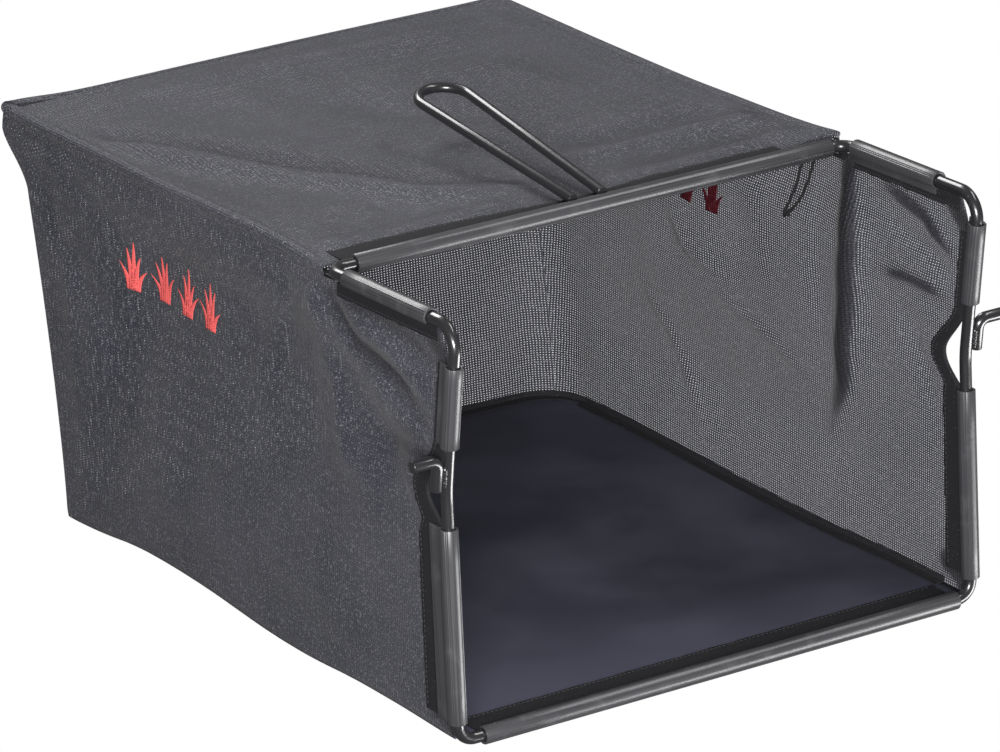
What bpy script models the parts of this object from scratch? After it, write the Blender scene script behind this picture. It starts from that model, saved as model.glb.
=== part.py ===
"""Collection bag of a lawn scarifier: a bent rod frame with a soft bag clipped into it.

X runs across the mouth, +Y runs back into the bag, +Z is up. The bag stands on the floor.
Every length is written in millimetres and turned into metres by MM.
"""

import math

import bmesh
import bpy
from mathutils import Vector

MM = 0.001

# Bent rod frame
ROD_D = 8.0
MOUTH_W = 404.0
SHOULDER_Z = 285.0
MOUTH_LEAN = 4.0
TOP_BAR_Y = 141.0
TOP_BAR_Z = 279.5
FOOT_BEND = 12.0
SHOULDER_BEND = 16.0
TOP_BEND = 12.0
WAIST_SET_BACK = 9.0
WAIST_UNDER_PIN = 3.0
WAIST_BEND = 100.0

# Push-on profiles: a round channel over the rod and one leaf that carries the cloth.
# Each gap is measured along the rod to the next bend or pin.
CLIP_CLEARANCE = 0.4
CLIP_WALL = 1.6
CLIP_LEAF = 18.0
CLIP_LIP_ANGLE = 300.0
TOP_CLIP_BEND_GAP = {"left": 8.0, "right": 0.3}
BOTTOM_CLIP_BEND_GAP = {"left": 6.0, "right": 0.3}
ARM_CLIP_LENGTH = {"left": 95.0, "right": 90.0}
ARM_CLIP_BEND_GAP = {"left": 11.0, "right": 0.3}
UPPER_CLIP_PIN_GAP = {"left": 3.0, "right": 10.0}
UPPER_CLIP_BEND_GAP = {"left": 8.0, "right": 0.3}
LOWER_CLIP_LENGTH = 130.0
LOWER_CLIP_BEND_GAP = {"left": 0.3, "right": 0.8}

# Hanging pins on the uprights
PIN_D = 8.0
PIN_HEIGHT = 190.0
PIN_DROP = 21.0
PIN_REACH = 19.5
PIN_BEND = 6.0

# Lifting loop on the top bar
LOOP_D = 7.0
LOOP_ROOT_SPACING = 23.0
LOOP_END_RADIUS = 18.2
LOOP_REACH = 182.0
LOOP_RISE = 22.0

# Cloth, binding tape and wire hem
CLOTH_T = 0.8
TAPE_T = 0.7
TAPE_W = 22.0
GAP = 0.3
BAG_DEPTH = 476.0
REAR_TOP_Z = 276.5
REAR_LEAN = 38.0
HEM_STEP = 29.5
HEM_STEP_START = 0.80
HEM_STEP_END = 0.95
SIDE_BULGE = 9.0
ROOF_SAG = 3.0
FLOOR_SLOPE = 150.0
BAY_DEPTH = 17.0
BAY_OVER_CLIPS = 1.5
BAY_SKEW = 0.7
FOLD_CLEAR = 2.0
CORNER_CLEAR = 3.0
EASE_FRONT = 150.0
EASE_REAR = 160.0
SEAM_TAPE = 8.0
WIRE_D = 5.0
WIRE_BEND = 18.0
WIRE_RISE = 24.0

# Twine loop under the top bar
TWINE_D = 1.8
TWINE_INSET = 18.0
TWINE_SPREAD = 5.0
TWINE_DROP = 44.0
TWINE_SWAY = 16.0

ROD_R = ROD_D / 2
BAG_DEPTH_TOP = BAG_DEPTH + REAR_LEAN + HEM_STEP
CLIP_IN = ROD_R + CLIP_CLEARANCE
CLIP_OUT = CLIP_IN + CLIP_WALL
HALF_W = MOUTH_W / 2
BOTTOM_Z = CLIP_OUT
LEAF_IN = CLOTH_T / 2 + GAP + TAPE_T + GAP
FOLD_HALF = CLOTH_T / 2 + GAP + TAPE_T
FOLD_START = ROD_R + GAP
CLOTH_START = FOLD_START + TAPE_T + GAP
PIN_X = HALF_W + ROD_R + GAP + PIN_D / 2
SLEEVE_IN = WIRE_D / 2 + GAP
SLEEVE_OUT = SLEEVE_IN + TAPE_T
WIRE_INSET = CLOTH_T / 2 + GAP + SLEEVE_OUT
WIRE_X = HALF_W - WIRE_INSET
PANEL_HALF = HALF_W - CLOTH_T / 2 - GAP
TWINE_X = HALF_W - TWINE_INSET
SIDES = {"left": -1, "right": 1}

# Main folds of the side walls. Both ends are (y, z) places, as shares of the top bar's set-back
# and of the mouth's height. Depth is outwards, half is the half width, both in millimetres.
WALL_FOLDS = {
    "left": (
        {"start": (0.92, 0.89), "end": (0.26, 0.83), "half": 9.0, "depth": 3.0},
        {"start": (0.88, 0.86), "end": (0.25, 0.745), "half": 8.0, "depth": -3.0},
        {"start": (0.95, 0.84), "end": (0.24, 0.66), "half": 12.0, "depth": 3.5},
        {"start": (0.80, 0.75), "end": (0.30, 0.50), "half": 16.0, "depth": -2.5},
        {"start": (1.12, 0.86), "end": (0.62, 0.36), "half": 26.0, "depth": 4.0},
        {"start": (2.35, 0.86), "end": (2.90, 0.30), "half": 30.0, "depth": -4.0},
        {"start": (2.95, 0.80), "end": (3.20, 0.16), "half": 22.0, "depth": 3.0},
    ),
    "right": (
        {"start": (0.90, 0.90), "end": (0.98, 0.40), "half": 12.0, "depth": -6.0},
        {"start": (1.15, 0.86), "end": (1.12, 0.45), "half": 12.0, "depth": 2.5},
        {"start": (0.62, 0.89), "end": (0.20, 0.82), "half": 8.0, "depth": 3.0},
        {"start": (0.58, 0.80), "end": (0.18, 0.70), "half": 9.0, "depth": -4.0},
        {"start": (0.55, 0.66), "end": (0.25, 0.48), "half": 14.0, "depth": 3.0},
        {"start": (1.60, 0.80), "end": (2.60, 0.35), "half": 34.0, "depth": -4.0},
    ),
}

ROD_SIDES = 3
ARC_STEP = math.radians(15)

for leftover in list(bpy.data.objects):
    bpy.data.objects.remove(leftover, do_unlink=True)


# Materials

def material(name, colour, roughness, metallic=0.0):
    mat = bpy.data.materials.new(name)
    mat.use_nodes = True
    shader = mat.node_tree.nodes["Principled BSDF"]
    shader.inputs["Base Color"].default_value = (*colour, 1)
    shader.inputs["Roughness"].default_value = roughness
    shader.inputs["Metallic"].default_value = metallic
    return mat


PAINT = material("black_paint", (0.020, 0.020, 0.023), 0.28)
PLASTIC = material("grey_plastic", (0.075, 0.075, 0.080), 0.38)
MESH_CLOTH = material("mesh_cloth", (0.050, 0.050, 0.055), 0.85)
COATED_CLOTH = material("coated_cloth", (0.030, 0.031, 0.036), 0.55)
TAPE = material("binding_tape", (0.018, 0.018, 0.020), 0.90)
TWINE = material("twine", (0.012, 0.012, 0.012), 0.80)

origin = bpy.data.objects.new("bag_origin", None)
bpy.context.scene.collection.objects.link(origin)


# Building helpers

def place(obj, mat):
    obj.data.materials.append(mat)
    obj.parent = origin
    bpy.context.scene.collection.objects.link(obj)
    return obj


def finish_mesh(name, mesh_builder, mat, smooth=True):
    bmesh.ops.recalc_face_normals(mesh_builder, faces=mesh_builder.faces)
    mesh = bpy.data.meshes.new(name)
    mesh_builder.to_mesh(mesh)
    mesh_builder.free()
    if smooth:
        mesh.shade_smooth()
        mesh.set_sharp_from_angle(angle=math.radians(35))
    return place(bpy.data.objects.new(name, mesh), mat)


def fillet(before, corner, after, radius):
    """Points of the arc that rounds one corner of a path."""
    first = (before - corner).normalized()
    last = (after - corner).normalized()
    half = first.angle(last) / 2
    reach = radius / math.tan(half)
    centre = corner + (first + last).normalized() * (radius / math.sin(half))
    start = corner + first * reach - centre
    turn = math.pi - 2 * half
    steps = max(3, math.ceil(turn / ARC_STEP))
    axis = start.cross(corner + last * reach - centre).normalized()
    side = axis.cross(start)
    return [
        centre + start * math.cos(turn * k / steps) + side * math.sin(turn * k / steps)
        for k in range(steps + 1)
    ]


def rounded_path(corners, radii, closed=False):
    points = []
    count = len(corners)
    for k, corner in enumerate(corners):
        if radii[k] == 0:
            points.append(corner)
            continue
        points += fillet(corners[k - 1], corner, corners[(k + 1) % count], radii[k])
    return points


def rod(name, points, diameter, mat, closed=False, sides=ROD_SIDES):
    """A round rod along a path: a bevelled curve with filled ends."""
    curve = bpy.data.curves.new(name, "CURVE")
    curve.dimensions = "3D"
    spline = curve.splines.new("POLY")
    spline.points.add(len(points) - 1)
    for target, point in zip(spline.points, points):
        target.co = (*(point * MM), 1)
    spline.use_cyclic_u = closed
    spline.use_smooth = True
    curve.bevel_depth = diameter / 2 * MM
    curve.bevel_resolution = sides
    curve.use_fill_caps = not closed
    return place(bpy.data.objects.new(name, curve), mat)


def extrude_outline(name, outline, start, end, rear, side, mat):
    """Push a flat outline of (rear, side) pairs straight from start to end."""
    builder = bmesh.new()
    first = [builder.verts.new((start + rear * r + side * s) * MM) for r, s in outline]
    face = builder.faces.new(first)
    pushed = bmesh.ops.extrude_face_region(builder, geom=[face])
    moved = [item for item in pushed["geom"] if isinstance(item, bmesh.types.BMVert)]
    bmesh.ops.translate(builder, verts=moved, vec=(end - start) * MM)
    return finish_mesh(name, builder, mat)


def sweep_rings(name, rings, mat, smooth=False):
    """Join matching closed rings of points into one capped solid."""
    builder = bmesh.new()
    rows = [[builder.verts.new(point * MM) for point in ring] for ring in rings]
    count = len(rows[0])
    for near, far in zip(rows, rows[1:]):
        for k in range(count):
            builder.faces.new((near[k], near[(k + 1) % count], far[(k + 1) % count], far[k]))
    builder.faces.new(rows[0][::-1])
    builder.faces.new(rows[-1])
    return finish_mesh(name, builder, mat, smooth)


def cloth_panel(name, rows, out, mat):
    """A sheet of cloth from a grid of middle points, given its thickness along out."""
    builder = bmesh.new()
    shift = out * (CLOTH_T / 2)
    layers = [
        [[builder.verts.new((point + shift * sign) * MM) for point in row] for row in rows]
        for sign in (1, -1)
    ]
    last_row = len(rows) - 1
    last_col = len(rows[0]) - 1
    for layer in layers:
        for j in range(last_row):
            for i in range(last_col):
                corners = (layer[j][i], layer[j][i + 1], layer[j + 1][i + 1], layer[j + 1][i])
                builder.faces.new(corners)
    rim = [(0, i) for i in range(last_col)]
    rim += [(j, last_col) for j in range(last_row)]
    rim += [(last_row, i) for i in range(last_col, 0, -1)]
    rim += [(j, 0) for j in range(last_row, 0, -1)]
    for (j0, i0), (j1, i1) in zip(rim, rim[1:] + rim[:1]):
        upper, lower = layers
        builder.faces.new((upper[j0][i0], upper[j1][i1], lower[j1][i1], lower[j0][i0]))
    return finish_mesh(name, builder, mat)


def arc(radius, start, end, step=15.0):
    count = max(1, round(abs(end - start) / step))
    angles = [math.radians(start + (end - start) * k / count) for k in range(count + 1)]
    return [(radius * math.cos(a), radius * math.sin(a)) for a in angles]


def clip_outline():
    """Section of a push-on profile about the rod axis, as (rear, side) pairs."""
    leaf_out = LEAF_IN + CLIP_WALL
    root_out = math.degrees(math.asin(leaf_out / CLIP_OUT))
    root_in = math.degrees(math.asin(LEAF_IN / CLIP_IN))
    outline = [(CLIP_LEAF, LEAF_IN), (CLIP_LEAF, leaf_out)]
    outline += arc(CLIP_OUT, root_out, CLIP_LIP_ANGLE)
    outline += arc(CLIP_IN, CLIP_LIP_ANGLE, root_in)
    return outline


def fold_outline(start):
    """Section of a tape folded over a cloth edge, with the cloth's slot in the middle."""
    slot = CLOTH_T / 2 + GAP
    end = start + TAPE_W
    return [
        (start, -FOLD_HALF),
        (end, -FOLD_HALF),
        (end, -slot),
        (start + TAPE_T, -slot),
        (start + TAPE_T, slot),
        (end, slot),
        (end, FOLD_HALF),
        (start, FOLD_HALF),
    ]


def between(low, high, count):
    """Evenly spaced stations between two ends, without the ends."""
    return [low + (high - low) * k / (count + 1) for k in range(1, count + 1)]


def smooth_step(value, low, high):
    t = min(1.0, max(0.0, (value - low) / (high - low)))
    return t * t * (3 - 2 * t)


# Driving curves of the bag

FOOT = {s: Vector((sign * HALF_W, 0, BOTTOM_Z)) for s, sign in SIDES.items()}
SHOULDER = {s: Vector((sign * HALF_W, -MOUTH_LEAN, SHOULDER_Z)) for s, sign in SIDES.items()}
TOP = {s: Vector((sign * HALF_W, TOP_BAR_Y, TOP_BAR_Z)) for s, sign in SIDES.items()}

# Each upright leans back from the bottom bar to its waist, just under the pin, and forward from there
PIN_Z = BOTTOM_Z + PIN_HEIGHT
WAIST_Z = PIN_Z - PIN_DROP - WAIST_UNDER_PIN
WAIST = {s: Vector((sign * HALF_W, WAIST_SET_BACK, WAIST_Z)) for s, sign in SIDES.items()}

ARM_DIR = (TOP["left"] - SHOULDER["left"]).normalized()
LOWER_DIR = (WAIST["left"] - FOOT["left"]).normalized()
UPPER_DIR = (SHOULDER["left"] - WAIST["left"]).normalized()
X_AXIS = Vector((1, 0, 0))
LOWER_REAR = Vector((0, LOWER_DIR.z, -LOWER_DIR.y))
UPPER_REAR = Vector((0, UPPER_DIR.z, -UPPER_DIR.y))
ARM_DOWN = Vector((0, ARM_DIR.z, -ARM_DIR.y))

SHOULDER_REACH = SHOULDER_BEND / math.tan((-UPPER_DIR).angle(ARM_DIR) / 2)
ARM_RUN = (TOP["left"] - SHOULDER["left"]).length - TOP_BEND
UPPER_CLIP_Z = {
    s: (PIN_Z + PIN_D / 2 + UPPER_CLIP_PIN_GAP[s],
        SHOULDER_Z - (SHOULDER_REACH + UPPER_CLIP_BEND_GAP[s]) * UPPER_DIR.z)
    for s in SIDES
}
LOWER_CLIP_Z = {
    s: (BOTTOM_Z + (FOOT_BEND + gap) * LOWER_DIR.z,
        BOTTOM_Z + (FOOT_BEND + gap + LOWER_CLIP_LENGTH) * LOWER_DIR.z)
    for s, gap in LOWER_CLIP_BEND_GAP.items()
}
BAY_LOW_Z = LOWER_CLIP_Z["left"][1] - BAY_OVER_CLIPS
BAY_HIGH_Z = UPPER_CLIP_Z["left"][0] + BAY_OVER_CLIPS
BAY_ROWS = [BAY_LOW_Z + (BAY_HIGH_Z - BAY_LOW_Z) * k / 10 for k in range(11)]
UPPER_FOLD_END = SHOULDER_Z - FOLD_START - TAPE_W - FOLD_CLEAR
FLAT_ABOVE = SHOULDER_Z - CLOTH_START - TAPE_W - CORNER_CLEAR
TOP_FRONT_Y = TOP_BAR_Y + CLOTH_START
SEAM_ZONE = BOTTOM_Z + CLOTH_T / 2 + GAP + SEAM_TAPE + 1.0
SLOPE_START = FOLD_START + TAPE_W + CORNER_CLEAR + 1.0
SLOPE_STEPS = 6


def upright_y(z):
    if z <= WAIST_Z:
        return WAIST_SET_BACK * (z - BOTTOM_Z) / (WAIST_Z - BOTTOM_Z)
    return WAIST_SET_BACK - (MOUTH_LEAN + WAIST_SET_BACK) * (z - WAIST_Z) / (SHOULDER_Z - WAIST_Z)


def on_upright(side, z):
    return Vector((SIDES[side] * HALF_W, upright_y(z), z))


def bay(z):
    """How far the bag's front edge steps back around the hanging pins, most in its lower half."""
    share = min(1.0, max(0.0, (z - BAY_LOW_Z) / (BAY_HIGH_Z - BAY_LOW_Z)))
    return BAY_DEPTH * (1 - math.cos(2 * math.pi * share ** BAY_SKEW)) / 2


def arm_z(y):
    return SHOULDER_Z + (TOP_BAR_Z - SHOULDER_Z) * (y + MOUTH_LEAN) / (TOP_BAR_Y + MOUTH_LEAN)


def roof_z(y):
    """Height of the top cloth's middle, from the top bar back to the rear edge."""
    share = (y - TOP_BAR_Y) / (BAG_DEPTH_TOP - TOP_BAR_Y)
    return TOP_BAR_Z + (REAR_TOP_Z - TOP_BAR_Z) * share


def rear_y(z):
    """The rear wall: it leans back as it rises, then steps out to the wire in its hem."""
    share = min(1.0, max(0.0, z / (HEM_STEP_START * REAR_TOP_Z)))
    lean = REAR_LEAN * share ** 1.4
    step = smooth_step(z, HEM_STEP_START * REAR_TOP_Z, HEM_STEP_END * REAR_TOP_Z)
    return BAG_DEPTH + lean + HEM_STEP * step


def front_y(z):
    """The side cloth's front edge, which cuts across the bend of the shoulder."""
    edge = upright_y(z) + CLOTH_START + bay(z)
    top = arm_z(SHOULDER_BEND - MOUTH_LEAN) - CLOTH_START
    corner = SHOULDER_BEND - MOUTH_LEAN + 1.0
    t = (z - UPPER_FOLD_END) / (top - UPPER_FOLD_END)
    if t <= 0:
        return edge
    return edge + (corner - edge) * min(1.0, t)


def floor_z(y):
    """The floor sheet's middle: level with the bottom rod at the front, then on the ground."""
    low = CLOTH_T / 2
    return BOTTOM_Z + (low - BOTTOM_Z) * smooth_step(y, SLOPE_START, SLOPE_START + FLOOR_SLOPE)


# Frame, wire, pins and loop

def build_front_frame():
    left = [FOOT["left"], WAIST["left"], SHOULDER["left"], TOP["left"]]
    right = [TOP["right"], SHOULDER["right"], WAIST["right"], FOOT["right"]]
    bends = [FOOT_BEND, WAIST_BEND, SHOULDER_BEND, TOP_BEND]
    corners = left + right
    radii = bends + bends[::-1]
    rod("front_frame", rounded_path(corners, radii, closed=True), ROD_D, PAINT, closed=True)


def wire_z(y):
    return roof_z(y) - WIRE_INSET


def build_rear_wire():
    """The wire in the bag's top hem, fixed under the two top bends of the frame."""
    start_y = TOP_BAR_Y - TOP_BEND + 7.0
    start_z = TOP_BAR_Z - ROD_R - GAP - WIRE_D / 2
    hem_y = TOP_FRONT_Y + WIRE_RISE
    rear = BAG_DEPTH_TOP - WIRE_INSET
    half = [
        Vector((WIRE_X, start_y, start_z)),
        Vector((WIRE_X, TOP_FRONT_Y, start_z)),
        Vector((WIRE_X, hem_y, wire_z(hem_y))),
        Vector((WIRE_X, rear, wire_z(rear))),
    ]
    mirrored = [Vector((-p.x, p.y, p.z)) for p in reversed(half)]
    radii = [0, 10, 10, WIRE_BEND, WIRE_BEND, 10, 10, 0]
    rod("rear_wire", rounded_path(half + mirrored, radii), WIRE_D, PAINT)


def build_pin(side):
    sign = SIDES[side]
    corner = Vector((sign * PIN_X, upright_y(PIN_Z), PIN_Z))
    foot = corner - UPPER_DIR * PIN_DROP
    end = corner + X_AXIS * sign * PIN_REACH
    rod(f"hook_pin_{side}", rounded_path([foot, corner, end], [0, PIN_BEND, 0]), PIN_D, PAINT)


def build_loop():
    root_z = TOP_BAR_Z + LEAF_IN + LOOP_D / 2 + 0.2
    root_y = TOP_BAR_Y + ROD_R + 0.5
    rise = LOOP_RISE / LOOP_REACH
    half_root = LOOP_ROOT_SPACING / 2
    arc_y = root_y + LOOP_REACH - LOOP_END_RADIUS
    spread = math.atan2(LOOP_END_RADIUS - half_root, arc_y - root_y)
    flat = [(-half_root, root_y)]
    steps = 12
    for k in range(steps + 1):
        angle = math.pi + spread - (math.pi + 2 * spread) * k / steps
        flat.append((LOOP_END_RADIUS * math.cos(angle), arc_y + LOOP_END_RADIUS * math.sin(angle)))
    flat.append((half_root, root_y))
    points = [Vector((x, y, root_z + rise * (y - root_y))) for x, y in flat]
    rod("handle_loop", points, LOOP_D, PAINT)


# Push-on profiles

def bottom_ends():
    """Where the bottom profile and its tape start and end on the bottom bar."""
    return [
        FOOT[s] - X_AXIS * sign * (FOOT_BEND + BOTTOM_CLIP_BEND_GAP[s]) for s, sign in SIDES.items()
    ]


def build_clips():
    outline = clip_outline()
    down = Vector((0, 0, -1))
    back = Vector((0, 1, 0))
    top = [TOP[s] - X_AXIS * sign * (TOP_BEND + TOP_CLIP_BEND_GAP[s]) for s, sign in SIDES.items()]
    extrude_outline("top_clip", outline, *top, back, down, PLASTIC)
    extrude_outline("bottom_clip", outline, *bottom_ends(), back, down, PLASTIC)
    for side, sign in SIDES.items():
        outward = X_AXIS * sign
        end = SHOULDER[side] + ARM_DIR * (ARM_RUN - ARM_CLIP_BEND_GAP[side])
        start = end - ARM_DIR * ARM_CLIP_LENGTH[side]
        extrude_outline(f"arm_clip_{side}", outline, start, end, ARM_DOWN, -outward, PLASTIC)
        start, end = [on_upright(side, z) for z in UPPER_CLIP_Z[side]]
        extrude_outline(f"upper_clip_{side}", outline, start, end, UPPER_REAR, outward, PLASTIC)
        start, end = [on_upright(side, z) for z in LOWER_CLIP_Z[side]]
        extrude_outline(f"lower_clip_{side}", outline, start, end, LOWER_REAR, outward, PLASTIC)


# Cloth

def side_bulge(y, z):
    """Inward draw of a side wall, nothing along its bound and sewn edges."""
    front = front_y(z) + TAPE_W
    rear = rear_y(z) - SEAM_TAPE - CORNER_CLEAR
    along = smooth_step(y, front, front + EASE_FRONT) * (1 - smooth_step(y, rear - EASE_REAR, rear))
    share = z / REAR_TOP_Z
    upward = smooth_step(share, 0.33, 0.72) * (1 - smooth_step(share, 0.78, FLAT_ABOVE / REAR_TOP_Z))
    lower = smooth_step(z, SEAM_ZONE, 0.22 * REAR_TOP_Z) * (1 - smooth_step(share, 0.22, 0.40))
    return SIDE_BULGE * along * (upward - lower / 3)


def wall_folds(side, y, z):
    """How far the folds push a side wall outwards. They end at the tapes and at the sewn edges."""
    here = Vector((y, z))
    push = 0.0
    for fold in WALL_FOLDS[side]:
        start = Vector((fold["start"][0] * TOP_BAR_Y, fold["start"][1] * SHOULDER_Z))
        line = Vector((fold["end"][0] * TOP_BAR_Y, fold["end"][1] * SHOULDER_Z)) - start
        share = min(1.0, max(0.0, (here - start).dot(line) / line.length_squared))
        off = (here - start - line * share).length / fold["half"]
        push += fold["depth"] * math.exp(-off * off) * (0.35 + 0.65 * math.sin(math.pi * share))
    front = front_y(z) + TAPE_W
    rear = rear_y(z) - SEAM_TAPE - CORNER_CLEAR
    clear = smooth_step(y, front, front + TAPE_W / 2) * (1 - smooth_step(y, rear - 2 * TAPE_W, rear))
    clear *= smooth_step(z, SEAM_ZONE, SEAM_ZONE + 2 * TAPE_W)
    return push * clear * (1 - smooth_step(z, FLAT_ABOVE - TAPE_W / 2, FLAT_ABOVE))


def side_top_z(y):
    if y <= TOP_FRONT_Y:
        return arm_z(y) - CLOTH_START
    return roof_z(y) - CLOTH_T / 2 - GAP


def build_side(side):
    sign = SIDES[side]
    heights = [SEAM_ZONE] + between(SEAM_ZONE, BAY_LOW_Z, 5) + BAY_ROWS
    heights += between(BAY_ROWS[-1], FLAT_ABOVE, 5) + [FLAT_ABOVE, UPPER_FOLD_END]
    tape_end = BAY_DEPTH + CLOTH_START + TAPE_W
    inner = between(tape_end, TOP_FRONT_Y, 10) + [TOP_FRONT_Y, TOP_FRONT_Y + CORNER_CLEAR]
    inner += between(TOP_FRONT_Y + CORNER_CLEAR, BAG_DEPTH, 10)
    rows = []
    for z in ["foot"] + heights + ["top"]:
        level = {"foot": BOTTOM_Z, "top": side_top_z(SHOULDER_BEND)}.get(z, z)
        start = front_y(level)
        end = rear_y(level) + CLOTH_T / 2
        stations = [start, start + TAPE_W] + inner + [end - 14.0, end]
        row = []
        for y in stations:
            point_z = {"foot": floor_z(y) - CLOTH_T / 2, "top": side_top_z(y)}.get(z, z)
            x = HALF_W - side_bulge(y, point_z) + wall_folds(side, y, point_z)
            row.append(Vector((sign * x, y, point_z)))
        rows.append(row)
    cloth_panel(f"side_panel_{side}", rows, X_AXIS * sign, MESH_CLOTH)


def build_roof():
    half = HALF_W + CLOTH_T / 2
    zone = PANEL_HALF - 2 * SLEEVE_OUT - 4
    across = [-half, -zone] + [zone * k / 4 for k in range(-3, 4)] + [zone, half]
    rear = BAG_DEPTH_TOP + CLOTH_T / 2
    hem = rear - 2 * WIRE_INSET - 2
    bound = TOP_FRONT_Y + TAPE_W
    back = [TOP_FRONT_Y, bound] + between(bound, hem, 8) + [hem, rear]
    rows = []
    for y in back:
        share = min(1.0, max(0.0, (y - bound) / (hem - bound)))
        sag = ROOF_SAG * math.sin(math.pi * share)
        rows.append([
            Vector((x, y, roof_z(y) - sag * max(0.0, 1 - (x / zone) ** 2)))
            for x in across
        ])
    cloth_panel("top_panel", rows, Vector((0, 0, 1)), MESH_CLOTH)


def build_rear():
    inner = PANEL_HALF - SEAM_TAPE - 2
    across = [-PANEL_HALF, -inner] + between(-inner, inner, 7) + [inner, PANEL_HALF]
    top = roof_z(BAG_DEPTH_TOP) - CLOTH_T / 2 - GAP
    step_start = HEM_STEP_START * REAR_TOP_Z
    step_end = HEM_STEP_END * REAR_TOP_Z
    heights = [0.0, SEAM_TAPE + 2] + between(SEAM_TAPE + 2, step_start, 6) + [step_start]
    heights += between(step_start, step_end, 3) + [step_end, top]
    rows = [[Vector((x, rear_y(z), z)) for x in across] for z in heights]
    cloth_panel("rear_panel", rows, Vector((0, 1, 0)), MESH_CLOTH)


def build_floor():
    half = PANEL_HALF
    across = [-half] + [half * k / 3 for k in range(-2, 3)] + [half]
    slope = [SLOPE_START + FLOOR_SLOPE * k / SLOPE_STEPS for k in range(SLOPE_STEPS + 1)]
    rear = rear_y(0) - CLOTH_T / 2 - GAP
    beyond = SLOPE_START + FLOOR_SLOPE
    back = [CLOTH_START] + slope + between(beyond, rear, 3) + [rear]
    rows = [[Vector((x, y, floor_z(y))) for x in across] for y in back]
    cloth_panel("floor_panel", rows, Vector((0, 0, 1)), COATED_CLOTH)


# Binding tapes folded over the clipped edges

def build_bindings():
    fold = fold_outline(FOLD_START)
    back = Vector((0, 1, 0))
    up = Vector((0, 0, 1))
    reach = HALF_W - TOP_BEND - CORNER_CLEAR
    rings = [
        [Vector((x, TOP_BAR_Y + r, roof_z(TOP_BAR_Y + r) + s)) for r, s in fold]
        for x in (-reach, reach)
    ]
    sweep_rings("top_binding", rings, TAPE)
    extrude_outline("floor_binding", fold, *bottom_ends(), back, up, TAPE)
    for side, sign in SIDES.items():
        low = LOWER_CLIP_Z[side][0]
        levels = [low] + between(low, BAY_LOW_Z, 2) + BAY_ROWS
        levels += between(BAY_ROWS[-1], UPPER_FOLD_END, 1) + [UPPER_FOLD_END]
        rings = []
        for z in levels:
            y = upright_y(z) + bay(z)
            rings.append([Vector((sign * (HALF_W + s), y + r, z)) for r, s in fold])
        sweep_rings(f"upright_binding_{side}", rings, TAPE)
        start = SHOULDER[side] + ARM_DIR * (SHOULDER_REACH + 1.0)
        end = SHOULDER[side] + ARM_DIR * ARM_RUN
        extrude_outline(f"arm_binding_{side}", fold, start, end, ARM_DOWN, X_AXIS * sign, TAPE)


# Seam tapes inside the lower edges, and the hem sleeves that hold the wire

def angle_ring(y, sign, lift):
    """L section in the lower corner between floor and side wall."""
    wall = sign * PANEL_HALF
    inward = -sign
    base = lift + CLOTH_T / 2 + GAP
    pairs = [
        (0, 0), (SEAM_TAPE, 0), (SEAM_TAPE, TAPE_T), (TAPE_T, TAPE_T), (TAPE_T, SEAM_TAPE), (0, SEAM_TAPE),
    ]
    return [Vector((wall + inward * a, y, base + b)) for a, b in pairs]


def build_seams():
    slope = [SLOPE_START + FLOOR_SLOPE * k / SLOPE_STEPS for k in range(SLOPE_STEPS + 1)]
    rear = rear_y(0) - CLOTH_T / 2 - GAP
    for side, sign in SIDES.items():
        stations = [FOLD_START + TAPE_W + 1.0] + slope + [rear - SEAM_TAPE - GAP]
        rings = [angle_ring(y, sign, floor_z(y)) for y in stations]
        sweep_rings(f"floor_seam_{side}", rings, TAPE)
    base = CLOTH_T + GAP
    profile = [
        (0, 0), (-SEAM_TAPE, 0), (-SEAM_TAPE, TAPE_T), (-TAPE_T, TAPE_T), (-TAPE_T, SEAM_TAPE), (0, SEAM_TAPE),
    ]
    rings = [
        [Vector((x, rear + a, base + b)) for a, b in profile]
        for x in (-PANEL_HALF, PANEL_HALF)
    ]
    sweep_rings("floor_seam_rear", rings, TAPE)


def sleeve(name, start, end, across, up):
    """A hem tunnel: a thin tube round the wire, open at both ends."""
    sides = 12
    builder = bmesh.new()
    loops = []
    for radius in (SLEEVE_OUT, SLEEVE_IN):
        for centre in (start, end):
            ring = []
            for k in range(sides):
                angle = 2 * math.pi * k / sides
                ring.append(builder.verts.new(
                    (centre + across * radius * math.cos(angle) + up * radius * math.sin(angle)) * MM
                ))
            loops.append(ring)
    outer_a, outer_b, inner_a, inner_b = loops
    for near, far in ((outer_a, outer_b), (outer_b, inner_b), (inner_b, inner_a), (inner_a, outer_a)):
        for k in range(sides):
            m = (k + 1) % sides
            builder.faces.new((near[k], near[m], far[m], far[k]))
    return finish_mesh(name, builder, MESH_CLOTH)


def build_sleeves():
    rear = BAG_DEPTH_TOP - WIRE_INSET
    open_y = TOP_FRONT_Y + WIRE_RISE + 6.0
    close_y = rear - WIRE_BEND - 6.0
    for side, sign in SIDES.items():
        start = Vector((sign * WIRE_X, open_y, wire_z(open_y)))
        end = Vector((sign * WIRE_X, close_y, wire_z(close_y)))
        along = (end - start).normalized()
        sleeve(f"wire_sleeve_{side}", start, end, X_AXIS, X_AXIS.cross(along).normalized())
    reach = WIRE_X - WIRE_BEND - 6.0
    start = Vector((-reach, rear, wire_z(rear)))
    end = Vector((reach, rear, wire_z(rear)))
    sleeve("wire_sleeve_rear", start, end, Vector((0, 1, 0)), Vector((0, 0, 1)))


# Twine loop hanging under the top bar

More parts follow.
